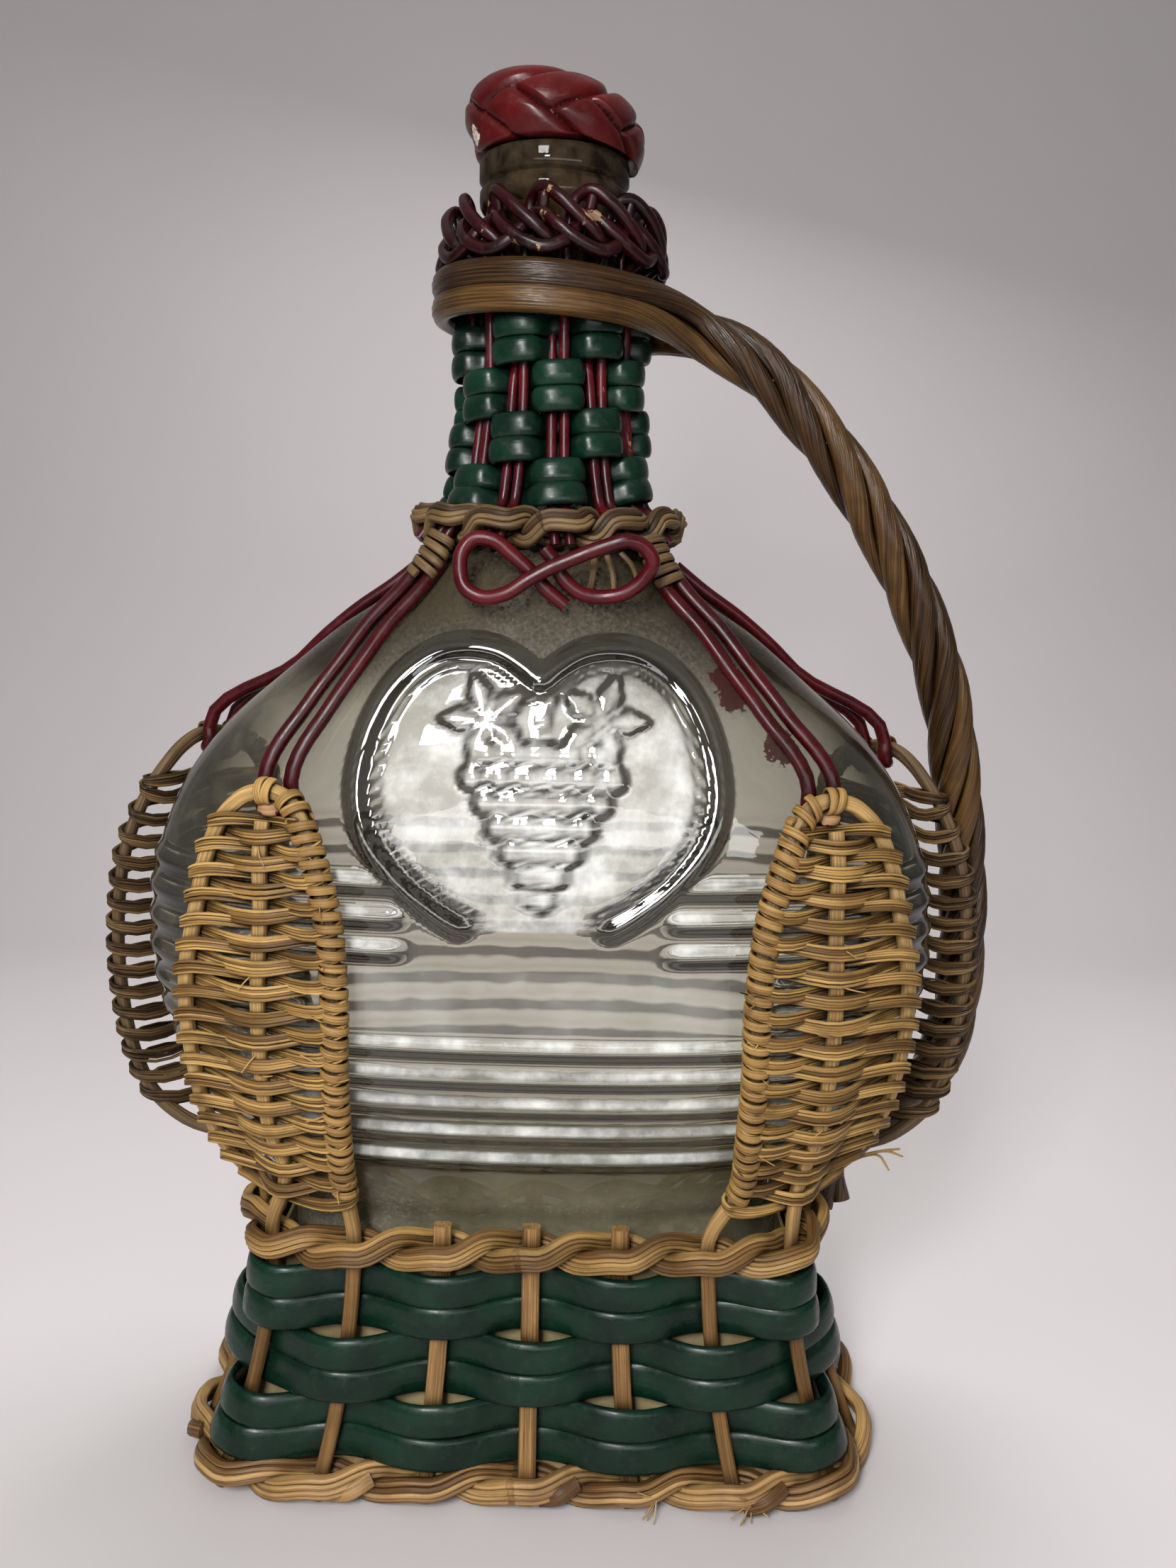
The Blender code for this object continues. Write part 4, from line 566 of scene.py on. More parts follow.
# Deep and bright colour, bare cane under it, level above which it is chipped, roughness,
# share of dust
PAINTS = {
    "red_plastic": ((0.046, 0.0022, 0.0024), (0.094, 0.0048, 0.0050), (0.70, 0.60, 0.5),
                    0.80, 0.27, 0.02),
    "green_strip": ((0.0014, 0.0105, 0.0056), (0.0036, 0.0240, 0.0126), (0.20, 0.15, 0.08),
                    0.82, 0.25, 0.04),
    "border_strand": ((0.0065, 0.0007, 0.0010), (0.026, 0.0013, 0.0026), (0.32, 0.19, 0.10),
                      0.65, 0.26, 0.05),
    "hanger_strand": ((0.024, 0.0010, 0.0022), (0.060, 0.0022, 0.0044), (0.50, 0.28, 0.13),
                      0.70, 0.26, 0.03),
    "bow_strand": ((0.038, 0.0014, 0.0036), (0.085, 0.0030, 0.0068), (0.60, 0.40, 0.23),
                   0.76, 0.25, 0.02),
}
LOWER_BORDER = (0.090, 0.0035, 0.0085)

# Studio
FLOOR_COLOURS = ((0.3, (0.555, 0.518, 0.520)), (0.7, (0.595, 0.556, 0.560)))
FLOOR_MOTTLE = 3.0
FLOOR_ROUGHNESS = 0.7
FLOOR_HALF_WIDTH = 0.75
BACKDROP_Y = 0.38
BACKDROP_BEND = 0.20
BACKDROP_TOP = 0.95
BACKDROP_STEPS = 12
ROOM_STOPS = ((0.0, 0.12), (0.48, 0.20), (0.62, 0.34), (1.0, 0.80))
ROOM_STRENGTH = 0.50
# Place, width, height, power, and whether diffuse and glossy surfaces show it
LAMPS = {
    "key": ((-0.15, -0.58, 0.52), 0.16, 0.16, 3.9, True, True),
    "flash": ((-0.066, -0.45, 0.306), 0.06, 0.06, 0.95, True, True),
    "strip": ((0.05, -0.50, 0.20), 0.70, 0.07, 1.1, False, True),
    "back": ((0.10, 0.24, 0.62), 0.35, 0.35, 2.9, True, False),
}
LAMP_TARGET = (0.0, 0.0, 0.15)
CAMERA_PLACE = (0.0100, -0.2864, 0.2004)
CAMERA_TARGET = (0.0100, 0.0, 0.1550)
CAMERA_ROLL = 1.3
CAMERA_LENS = 29.15
CAMERA_SENSOR = 36.0
CAMERA_NEAR = 0.01


def curve_shares(t):
    """Shares of a stretch's start, its slope there, its end and its slope there, on a smooth curve."""
    return 2 * t ** 3 - 3 * t ** 2 + 1, t ** 3 - 2 * t ** 2 + t, 3 * t ** 2 - 2 * t ** 3, t ** 3 - t ** 2


def blend_rows(rows, key):
    """Reads the other columns of rows at a key, on a smooth curve through them."""
    last = len(rows) - 1
    place = 0
    while place < last - 1 and key > rows[place + 1][0]:
        place += 1
    p0, p1 = rows[max(place - 1, 0)], rows[place]
    p2, p3 = rows[place + 1], rows[min(place + 2, last)]
    span = p2[0] - p1[0]
    t = min(max((key - p1[0]) / span, 0.0), 1.0)
    start, leave, end, arrive = curve_shares(t)
    values = []
    for column in range(1, len(p1)):
        low_slope = (p2[column] - p0[column]) / max(p2[0] - p0[0], span) * span
        high_slope = (p3[column] - p1[column]) / max(p3[0] - p1[0], span) * span
        values.append(start * p1[column] + leave * low_slope + end * p2[column] + arrive * high_slope)
    return values


def smooth_path(points, steps):
    """Points of a smooth curve through the given ones, so many steps in each stretch."""
    path = []
    for i in range(len(points) - 1):
        p1, p2 = points[i], points[i + 1]
        p0 = points[i - 1] if i > 0 else p1
        p3 = points[i + 2] if i + 2 < len(points) else p2
        for k in range(steps):
            t = k / steps
            path.append(0.5 * (2 * p1 + (p2 - p0) * t + (2 * p0 - 5 * p1 + 4 * p2 - p3) * t ** 2
                               + (3 * p1 - 3 * p2 + p3 - p0) * t ** 3))
    path.append(points[-1].copy())
    return path


def carried_normals(path, first):
    """Directions across an open path that turn with it as little as they can."""
    normals = []
    normal = first
    for i, point in enumerate(path):
        after = path[min(i + 1, len(path) - 1)]
        before = path[max(i - 1, 0)]
        along = (after - before).normalized()
        normal = (normal - along * normal.dot(along)).normalized()
        normals.append(normal)
    return normals


def glass_size(z):
    """Half width, half depth and squareness of the plain glass outline at a height."""
    if z <= GLASS_FLARE_Z:
        return FOOT_HALF_WIDTH, FOOT_HALF_DEPTH, BODY_SQUARENESS
    if z <= BODY_WIDEST_Z:
        rise = (z - GLASS_FLARE_Z) / (BODY_WIDEST_Z - GLASS_FLARE_Z)
        share = math.sin(math.pi / 2 * rise) ** 0.85
        return (FOOT_HALF_WIDTH + share * (BODY_HALF_WIDTH - FOOT_HALF_WIDTH),
                FOOT_HALF_DEPTH + share * (BODY_HALF_DEPTH - FOOT_HALF_DEPTH), BODY_SQUARENESS)
    if z >= NECK_START_Z:
        return NECK_RADIUS, NECK_RADIUS, ROUND_POWER
    rise = (z - BODY_WIDEST_Z) / (NECK_START_Z - BODY_WIDEST_Z)
    wide, deep = blend_rows(SHOULDER_SHARES, rise)
    return (NECK_RADIUS + wide * (BODY_HALF_WIDTH - NECK_RADIUS),
            NECK_RADIUS + deep * (BODY_HALF_DEPTH - NECK_RADIUS),
            ROUND_POWER + deep * (BODY_SQUARENESS - ROUND_POWER))


def outline_point(angle, half_width, half_depth, power):
    """Point of a rounded oval at an angle, seen from above."""
    c, s = math.cos(angle), math.sin(angle)
    return (half_width * math.copysign(abs(c) ** (2 / power), c),
            half_depth * math.copysign(abs(s) ** (2 / power), s))


def glass_normal(x, y, z):
    """Outward direction of the glass near a point."""
    step = RIB_PITCH / 10

    def level(px, py, pz):
        wide, deep, power = glass_size(pz)
        return (abs(px) / wide) ** power + (abs(py) / deep) ** power

    slope = Vector((level(x + step, y, z) - level(x - step, y, z),
                    level(x, y + step, z) - level(x, y - step, z),
                    level(x, y, z + step) - level(x, y, z - step)))
    return slope.normalized()


def on_glass(share, z, stand_off, side, hand=1.0):
    """A point off the front or back of the glass, at a share of its half width."""
    wide, deep, power = glass_size(z)
    x = hand * share * wide
    y = side * deep * (1 - min(abs(share), 0.9999) ** power) ** (1 / power)
    normal = glass_normal(x, y, z)
    return Vector((x, y, z)) + normal * stand_off, normal


def glass_at(x, z, stand_off, side):
    """The same, at a distance from the middle."""
    wide = glass_size(z)[0]
    return on_glass(abs(x) / wide, z, stand_off, side, math.copysign(1.0, x))


def wall_size(z):
    """Half width, half depth and corner radius of the stakes' centre line at a height."""
    flare = max(1 - z / RIM_Z, 0.0) ** FLARE_POWER
    return (FOOT_HALF_WIDTH + WALL_STAND_OFF + FOOT_FLARE * flare,
            FOOT_HALF_DEPTH + WALL_STAND_OFF + FOOT_FLARE_DEPTH * flare,
            RIM_CORNER_RADIUS + FOOT_FLARE_CORNER * flare)


def wall_normal(level, z):
    """The wall's outward direction, which tips upwards where the wall flares to the foot."""
    steep = -FLARE_POWER / RIM_Z * max(1 - z / RIM_Z, 0.0) ** (FLARE_POWER - 1)
    growth = steep * (abs(level.x) * (FOOT_FLARE - FOOT_FLARE_CORNER)
                      + abs(level.y) * (FOOT_FLARE_DEPTH - FOOT_FLARE_CORNER) + FOOT_FLARE_CORNER)
    return (level - UP * growth).normalized()


def wall_point(stake, z, offset=0.0):
    """A point of the wall, counted in stakes from the front's middle towards +X."""
    wide, deep, corner = wall_size(z)
    run, side = wide - corner, deep - corner
    arc = math.pi / 2 * corner
    length = 4 * run + 4 * side + 4 * arc
    place = (stake / STAKE_COUNT * length) % length
    stretches = ((run, 0, -1), (arc, 1, -1), (2 * side, 0, 0), (arc, 1, 0), (2 * run, 0, 1),
                 (arc, 1, 1), (2 * side, 0, 2), (arc, 1, 2), (run, 0, 3))
    corners = ((run, -side), (run, side), (-run, side), (-run, -side))
    for index, (stretch, bend, turn) in enumerate(stretches):
        if place <= stretch or index == len(stretches) - 1:
            break
        place -= stretch
    if bend:
        angle = turn * math.pi / 2 + place / corner
        centre = corners[turn + 1]
        level = Vector((math.cos(angle), math.sin(angle), 0.0))
        normal = wall_normal(level, z)
        return Vector((centre[0], centre[1], z)) + level * corner + normal * offset, normal
    normal = wall_normal(Vector((math.cos(turn * math.pi / 2), math.sin(turn * math.pi / 2), 0.0)), z)
    starts = {-1: (0.0, -deep), 0: (wide, -side), 1: (run, deep), 2: (-wide, side), 3: (-run, -deep)}
    ways = {-1: (1, 0), 0: (0, 1), 1: (-1, 0), 2: (0, -1), 3: (1, 0)}
    x = starts[turn][0] + ways[turn][0] * place
    y = starts[turn][1] + ways[turn][1] * place
    return Vector((x, y, z)) + normal * offset, normal


def stake_spacing(z):
    """Distance between neighbouring stakes along the wall."""
    wide, deep, corner = wall_size(z)
    return (4 * (wide - corner) + 4 * (deep - corner) + 2 * math.pi * corner) / STAKE_COUNT


def stake_leg(stake, top_z):
    """Points and directions of a stake inside the basket wall, from its foot up."""
    heights = [STAKE_FOOT_Z + (top_z - STAKE_FOOT_Z) * share for share in STAKE_LEVEL_SHARES]
    return [wall_point(stake, z) for z in heights]


def panel_rods(side, hand):
    """Stakes and free points of a panel's outer, centre and inner rod, and its arch."""
    if side == FRONT:
        tall = FRONT_ARCH_Z - RIM_Z
        shift = hand * FRONT_SHIFT_SHARE

        def off_glass(share, height_share):
            return on_glass(share + shift, RIM_Z + height_share * tall, PANEL_STAND_OFF, side, hand)[0]

        outer = [off_glass(o, s) for s, o, _ in FRONT_PANEL_SHARES]
        centre = [off_glass((o + i) / 2, s) for s, o, i in FRONT_PANEL_SHARES]
        inner = [off_glass(i, s) for s, _, i in FRONT_PANEL_SHARES]
        arch = [off_glass(share, s) for s, share in FRONT_ARCH_SHARES]
        stakes = [hand * number for number in (4, 3, 2)]
    else:
        tall = BACK_ARCH_Z - RIM_Z
        growth_x = BODY_HALF_WIDTH - FOOT_HALF_WIDTH
        growth_y = BODY_HALF_DEPTH - FOOT_HALF_DEPTH
        stakes = [STAKE_COUNT / 2 - hand * number for number in (4, 3, 2)]
        roots = [wall_point(stake, RIM_Z)[0] for stake in stakes]

        def beyond(root, s, x, y):
            return Vector((root.x + hand * x * growth_x, root.y + y * growth_y, RIM_Z + s * tall))

        outer = [beyond(roots[0], row[0], row[1], row[2]) for row in BACK_PANEL_SHARES]
        centre = [beyond(roots[1], row[0], row[3], row[4]) for row in BACK_PANEL_SHARES]
        inner = [beyond(roots[2], row[0], row[5], row[6]) for row in BACK_PANEL_SHARES]
        arch = [beyond(roots[0].lerp(roots[2], t), s, x, y) for s, t, x, y in BACK_ARCH_SHARES]
    return stakes, outer, centre, inner, arch


def level_normal(point):
    """The level direction away from the bottle."""
    normal = glass_normal(point.x, point.y, max(point.z, GLASS_FLARE_Z))
    return Vector((normal.x, normal.y, 0.0)).normalized()


def at_height(path, z):
    """The point of a rising path at a height."""
    for low, high in zip(path, path[1:]):
        if low.z <= z <= high.z:
            return low.lerp(high, (z - low.z) / (high.z - low.z))
    return path[-1].copy()


def neck_point(column, z, offset=0.0, stand_off=NECK_STAND_OFF):
    """A point of the neck sleeve, counted in columns, at an offset from the rods' centres."""
    wide, deep, power = glass_size(z)
    angle = 2 * math.pi * (column + 0.25) / COLUMN_COUNT - math.pi / 2
    x, y = outline_point(angle, wide, deep, power)
    normal = glass_normal(x, y, z)
    return Vector((x, y, z)) + normal * (stand_off + offset), normal


def column_share(length, z):
    """A length round the sleeve at a height, in columns."""
    wide, deep, _ = glass_size(z)
    radius = (wide + deep) / 2 + NECK_STAND_OFF
    return length / (2 * math.pi * radius) * COLUMN_COUNT


def handle_axis():
    """Evenly spaced points down the middle of the twisted handle."""
    rise = SLING_UPPER_Z - RIM_Z
    reach = max(point.x for point in panel_rods(BACK, 1.0)[1]) + HANDLE_STAND_OUT
    route = []
    for start, rows in ((NECK_RADIUS, HANDLE_UPPER_SHARES), (wall_size(RIM_Z)[0], HANDLE_LOWER_SHARES)):
        for x, y, z in rows:
            route.append(Vector((start + x * (reach - start), y * HANDLE_SET_BACK, RIM_Z + z * rise)))
    off_wall = RIM_SWING + RIM_STRAND_RADIUS + SEAT_GAP + LAY_RADIUS + CANE_RADIUS
    for z in (RIM_Z, HANDLE_FOOT_Z):
        route.append(wall_point(HANDLE_STAKE_NUMBER, z, off_wall)[0])
    fine = smooth_path(route, ROUTE_STEPS)
    lengths = [0.0]
    for a, b in zip(fine, fine[1:]):
        lengths.append(lengths[-1] + (b - a).length)
    axis, place = [], 0
    for station in range(ROPE_STATIONS):
        want = lengths[-1] * station / (ROPE_STATIONS - 1)
        while place < len(fine) - 2 and lengths[place + 1] < want:
            place += 1
        share = (want - lengths[place]) / (lengths[place + 1] - lengths[place])
        axis.append(fine[place].lerp(fine[place + 1], share))
    return axis


# Meshes in numbers

def unit(rows):
    """Each row at length one."""
    return rows / np.maximum(np.linalg.norm(rows, axis=-1, keepdims=True), SMALL)


def refine(places, steps=STEPS, closed=False):
    """A smooth curve through places, each a point and a direction, and its directions."""
    p = np.array([tuple(point) for point, _ in places])
    n = np.array([tuple(normal) for _, normal in places])
    if closed:
        p, n = (np.vstack([rows[-1:], rows, rows[:2]]) for rows in (p, n))
    stretch = np.diff(p, axis=0)
    length = np.maximum(np.linalg.norm(stretch, axis=1), SMALL)[:, None]
    slope = stretch / length
    inner = (slope[:-1] * length[1:] + slope[1:] * length[:-1]) / (length[:-1] + length[1:])
    tangent = np.vstack([slope[:1], inner, slope[-1:]])
    first, last = (1, len(p) - 2) if closed else (0, len(p) - 1)
    path, outward = [], []
    for i in range(first, last):
        for step in range(steps):
            t = step / steps
            start, leave, end, arrive = curve_shares(t)
            path.append(start * p[i] + leave * length[i] * tangent[i]
                        + end * p[i + 1] + arrive * length[i] * tangent[i + 1])
            outward.append((1 - t) * n[i] + t * n[i + 1])
    if not closed:
        path.append(p[-1])
        outward.append(n[-1])
    return np.array(path), unit(np.array(outward))


def clipped(values):
    """The values, kept between nought and one."""
    return np.clip(values, 0.0, 1.0)


def spread_out(values, steps, closed=False):
    """The same number of steps for a value given at each point."""
    count = len(values)
    if closed:
        values = list(values) + [values[0]]
    fine = np.arange(count * steps if closed else (count - 1) * steps + 1) / steps
    return np.interp(fine, np.arange(len(values)), values)


def wander(count, reach):
    """A slow random drift along a strand."""
    place = np.arange(count)
    drift = np.zeros(count)
    for pace in (0.031, 0.083, 0.19):
        drift += np.sin(place * pace * rng.uniform(0.7, 1.4) + rng.uniform(0.0, 6.3))
    return reach * drift / 3


def rounded(turn, half_width, half_height, power):
    """Points of an oval to a rounded rectangle at the angles of an array."""
    c, s = np.cos(turn), np.sin(turn)
    return (half_width * np.sign(c) * np.abs(c) ** (2 / power),
            half_height * np.sign(s) * np.abs(s) ** (2 / power))


def section_of(kind, width, height, swell=1.0):
    """A strand's section, with grooves as split cane has, or fuller on its outer side."""
    power, count, *grooves = SECTIONS[kind]
    turn = np.arange(count) * 2 * math.pi / count
    section = np.stack(rounded(turn, width / 2, height / 2, power), axis=1)
    if grooves:
        lobes, depth, sharpness = (*grooves, 1)[:3]
        place = np.arctan2(section[:, 1], section[:, 0])
        section = section * (1 - depth * (0.5 + 0.5 * np.cos(lobes * place)) ** sharpness)[:, None]
    section[:, 1] = np.where(section[:, 1] > 0, section[:, 1] * swell, section[:, 1])
    return section


def travel(path):
    """How far along the path each of its points is."""
    return np.concatenate([[0.0], np.cumsum(np.linalg.norm(np.diff(path, axis=0), axis=1))])


def link(name, data):
    """Puts something new into the scene."""
    made = bpy.data.objects.new(name, data)
    bpy.context.scene.collection.objects.link(made)
    return made


class Strands:
    """Gathers swept strands and other skins into one mesh, with the lay and tone of each."""

    def __init__(self):
        self.points, self.faces, self.lays, self.tones, self.count = [], [], [], [], 0

    def skin(self, rings, lays, tone=0.5, closed=False):
        """Adds a skin over rings of points, with its ends closed unless it meets itself."""
        rows, across = rings.shape[:2]
        index = self.count + np.arange(rows * across).reshape(rows, across)
        low = index if closed else index[:-1]
        high = np.roll(index, -1, axis=0) if closed else index[1:]
        quads = np.stack([low, np.roll(low, -1, axis=1), np.roll(high, -1, axis=1), high], axis=-1)
        self.faces += quads.reshape(-1, 4).tolist()
        if not closed:
            self.faces += [index[0][::-1].tolist(), index[-1].tolist()]
        self.points.append(rings.reshape(-1, 3))
        self.lays.append(lays.reshape(-1, 3))
        self.tones.append(np.broadcast_to(tone, (rows, across)).ravel())
        self.count += rows * across
        return self

    def sweep(self, path, outward, section, closed=False, seed=0.0, scale=None, widen=None, tone=0.5):
        """Sweeps a section along a path. Its second axis follows the outward directions."""
        path, outward = np.asarray(path), np.asarray(outward)
        if closed:
            before = path - np.roll(path, 1, axis=0)
            along = unit(np.roll(path, -1, axis=0) - path) + unit(before)
            place = np.cumsum(np.linalg.norm(before, axis=1))
        else:
            run = unit(np.diff(path, axis=0))
            along = np.vstack([run[:1], run[:-1] + run[1:], run[-1:]])
            place = travel(path)
        along = unit(along)
        normal = unit(outward - along * np.sum(outward * along, axis=1, keepdims=True))
        side = np.cross(along, normal)
        size = np.ones(len(path)) if scale is None else np.asarray(scale)
        width = size if widen is None else size * np.asarray(widen)
        u = section[None, :, 0] * width[:, None]
        v = section[None, :, 1] * size[:, None]
        rings = path[:, None] + side[:, None] * u[..., None] + normal[:, None] * v[..., None]
        lays = np.stack([np.broadcast_to((place + seed)[:, None], u.shape), u, v + seed], axis=-1)
        return self.skin(rings, lays, tone, closed)

    def strand(self, places, section, steps=STEPS, closed=False, scale=None, widen=None, **how):
        """Sweeps a section through places. Scale and widen are given at each of them."""
        path, outward = refine(places, steps, closed)
        scale, widen = (None if sizes is None else spread_out(sizes, steps, closed)
                        for sizes in (scale, widen))
        return self.sweep(path, outward, section, closed, scale=scale, widen=widen, **how)

    def end(self, points, normal, width, thickness, tone=0.5):
        """Adds a stray or cut end of cane along a few points, thinning a little."""
        path, outward = refine([(point, normal) for point in points], END_STEPS)
        scale = np.interp(np.linspace(0.0, 1.0, len(path)), *END_TAPER)
        return self.sweep(path, outward, section_of("end", width, thickness), scale=scale, tone=tone,
                          seed=rng.uniform(0.0, MOST_SEED))

    def wrap(self, places, half_width, half_depth, turns, width, thickness, tone):
        """Winds a strand round the line through places, so many turns, at these distances from it."""
        path, outward = (np.array([tuple(place[k]) for place in places]) for k in (0, 1))
        lengths = travel(path)
        place = np.linspace(0.0, 1.0, int(turns * WRAP_STEPS) + 1)
        core, face = (np.stack([np.interp(place * lengths[-1], lengths, line) for line in rows.T], axis=1)
                      for rows in (path, outward))
        along = unit(np.gradient(core, axis=0))
        face = unit(face - along * np.sum(face * along, axis=1, keepdims=True))
        side = np.cross(along, face)
        turn = 2 * math.pi * turns * place
        reach = side * (half_width * np.cos(turn))[:, None] + face * (half_depth * np.sin(turn))[:, None]
        return self.sweep(core + reach, reach, section_of("wrap", width, thickness), tone=tone,
                          seed=rng.uniform(0.0, MOST_SEED))

    def piece(self, name, look, slot, node, body="carafe", angle=50):
        """Makes the object, puts it on its body and hides the node that it stands for."""
        mesh = bpy.data.meshes.new(name)
        inside = np.clip(np.vstack(self.points), np.array(cad_box[0]), np.array(cad_box[1]))
        mesh.from_pydata(inside.tolist(), [], self.faces)
        lay = mesh.attributes.new("lay", "FLOAT_VECTOR", "POINT")
        lay.data.foreach_set("vector", np.vstack(self.lays).astype(np.float32).ravel())
        tone = mesh.attributes.new("tone", "FLOAT", "POINT")
        tone.data.foreach_set("value", np.concatenate(self.tones).astype(np.float32))
        mesh.update()
        mesh.shade_smooth()
        mesh.set_sharp_from_angle(angle=math.radians(angle))
        mesh.materials.append(finish[look])
        made = link(name, mesh)
        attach(made, body)
        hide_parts(node)


# Materials

class Look:
    """A material or world in the making. An input given as a socket is linked, any other is set."""

    def __init__(self, made, shader="Principled BSDF"):
        made.use_nodes = True
        self.made, self.tree = made, made.node_tree
        self.shader = self.tree.nodes[shader]

    def put(self, inputs, values):
        """Fills inputs. A colour gets its alpha."""
        for key, value in values.items():
            if isinstance(value, bpy.types.NodeSocket):
                self.tree.links.new(value, inputs[key])
            elif inputs[key].type == "RGBA":
                inputs[key].default_value = (*value, 1.0)
            else:
                inputs[key].default_value = value

    def node(self, kind, values=None, **settings):
        """Adds a node, with values for its inputs."""
        made = self.tree.nodes.new("ShaderNode" + kind)
        for key, value in settings.items():
            setattr(made, key, value)
        self.put(made.inputs, values or {})
        return made

    def ramp(self, value, *stops):
        """A colour ramp over a value, from places and colours."""
        made = self.node("ValToRGB", {"Fac": value})
        elements = made.color_ramp.elements
        while len(elements) < len(stops):
            elements.new(0.5)
        for element, (place, colour) in zip(elements, stops):
            element.position = place
            element.color = (*(colour if isinstance(colour, tuple) else (colour,) * 3), 1.0)
        return made.outputs["Color"]

    def mix(self, share, first, second, blend_type="MIX"):
        """Mixes two colours."""
        return self.node("Mix", {0: share, 6: first, 7: second}, data_type="RGBA",
                         blend_type=blend_type).outputs[2]

    def shaded(self, colour, low):
        """The colour, darkened to a share of itself in the crevices: painted shade."""
        open_share = self.node("AmbientOcclusion", {"Distance": CREVICE_REACH}, samples=4).outputs["AO"]
        return self.mix(1.0, colour, self.ramp(open_share, (0.25, low), (0.85, 1.0)), "MULTIPLY")

    def sums(self, operation, *values):
        """Arithmetic on values, from the first to the last."""
        total = values[0]
        for value in values[1:]:
            total = self.node("Math", {0: total, 1: value}, operation=operation).outputs[0]
        return total

    def place(self):
        """The object's own coordinates."""
        return self.node("TexCoord").outputs["Object"]

    def parts(self, vector):
        """The three parts of a vector."""
        return self.node("SeparateXYZ", {"Vector": vector}).outputs

    def attribute(self, name, output="Fac"):
        """The lay or tone of each strand."""
        return self.node("Attribute", attribute_name=name).outputs[output]

    def risen(self, heights, top=1.0):
        """Nought at the first height, and up to top at the second."""
        low, high = heights
        return self.node("MapRange", {"Value": self.parts(self.place())["Z"], "From Min": low,
                                      "From Max": high, "To Max": top}).outputs["Result"]

    def noise(self, scale, detail=3.0, roughness=0.55, vector=None):
        """A noise value over the object's coordinates, or over another vector."""
        return self.node("TexNoise", {"Vector": vector or self.place(), "Scale": scale, "Detail": detail,
                                      "Roughness": roughness}).outputs["Fac"]

    def grain(self, along, across, detail=3.0):
        """Noise drawn out along the lay of the strands."""
        drawn = self.node("VectorMath", {0: self.attribute("lay", "Vector"), 1: (along, across, across)},
                          operation="MULTIPLY")
        return self.noise(1.0, detail, vector=drawn.outputs["Vector"])

    def spots(self, centres, raggedness):
        """One inside ragged round spots, each a centre and a radius, and nought outside."""
        shares = []
        for centre, radius in centres:
            away = self.node("VectorMath", {0: self.place(), 1: centre}, operation="DISTANCE")
            shares.append(self.sums("DIVIDE", away.outputs["Value"], radius))
        edge = self.sums("MULTIPLY", self.sums("SUBTRACT", self.noise(*SPOT_EDGE), 0.5), raggedness)
        return self.ramp(self.sums("ADD", self.sums("MINIMUM", *shares), edge), (0.93, 1.0), (1.0, 0.0))

    def bump(self, height, distance, strength=1.0):
        """Raises a height as bump on the shader."""
        made = self.node("Bump", {"Height": height, "Distance": distance, "Strength": strength})
        self.put(self.shader.inputs, {"Normal": made.outputs["Normal"]})


def cane_material(look, dark, mid, light, stain, roughness, crevice_shade, stained, darker_low=False):
    """Split cane: long fibres, brown streaks, smudges, and painted shade in the crevices."""
    fibres = look.grain(*CANE_FIBRES)
    level = look.sums("ADD", look.sums("MULTIPLY", fibres, 0.65),
                      look.sums("MULTIPLY", look.attribute("tone"), 0.35))
    colour = look.ramp(level, (0.34, dark), (0.50, mid), (0.68, light))
    colour = look.mix(look.ramp(look.grain(*CANE_STREAKS), (0.54, 0.0), (0.70, stained)), colour, stain)
    colour = look.mix(look.ramp(look.noise(*CANE_SMUDGES), (0.50, 0.0), (0.72, stained)), colour, stain)
    # The colour darkens towards the rim, lower down
    if darker_low:
        colour = look.mix(look.risen(LOW_DARKENING_Z), colour,
                          look.mix(1.0, colour, LOW_DARKENING, "MULTIPLY"))
    # Painted shade: the colour is darkened in the crevices
    look.put(look.shader.inputs, {
        "Base Color": look.shaded(colour, crevice_shade), "Specular IOR Level": 0.28,
        "Roughness": look.ramp(fibres, (0.2, roughness - 0.15), (0.8, roughness + 0.1))})
    look.bump(fibres, CANE_BUMP)


def paint_material(look, deep, bright, bare, wear, roughness, dusting, scars=(), lower=None):
    """Glossy dyed skin on a cane: colour that pools and thins, chips, worn places, and painted shade in the
    crevices.
    """
    pools = look.ramp(look.noise(*PAINT_POOLS), *EVEN)
    lines = look.grain(*PAINT_LINES)
    colour = look.mix(pools, deep, bright)
    colour = look.mix(look.ramp(lines, (0.45, 0.0), (0.75, 0.35)), colour, deep)
    if lower:
        colour = look.mix(look.risen(LOWER_BORDER_Z), colour, look.mix(pools, bright, lower))
    dust = look.noise(*PAINT_DUST)
    colour = look.mix(look.ramp(dust, (0.56, 0.0), (0.80, dusting)), colour, DUST)
    chipped = look.ramp(look.noise(*PAINT_CHIPS), (wear, 0.0), (wear + 0.02, 1.0))
    if scars:
        chipped = look.sums("MAXIMUM", chipped, look.spots(scars, 1.6))
    skin = look.ramp(look.grain(*BARE_CANE), (0.35, tuple(0.45 * part for part in bare)), (0.6, bare))
    rough = look.ramp(dust, (0.4, roughness), (0.8, roughness + 0.25))
    # Painted shade: the colour is darkened in the crevices
    look.put(look.shader.inputs, {
        "Base Color": look.shaded(look.mix(chipped, colour, skin), 0.35), "Specular IOR Level": 0.25,
        "Roughness": look.mix(chipped, rough, (0.7, 0.7, 0.7))})
    look.bump(lines, PAINT_BUMP, 0.8)


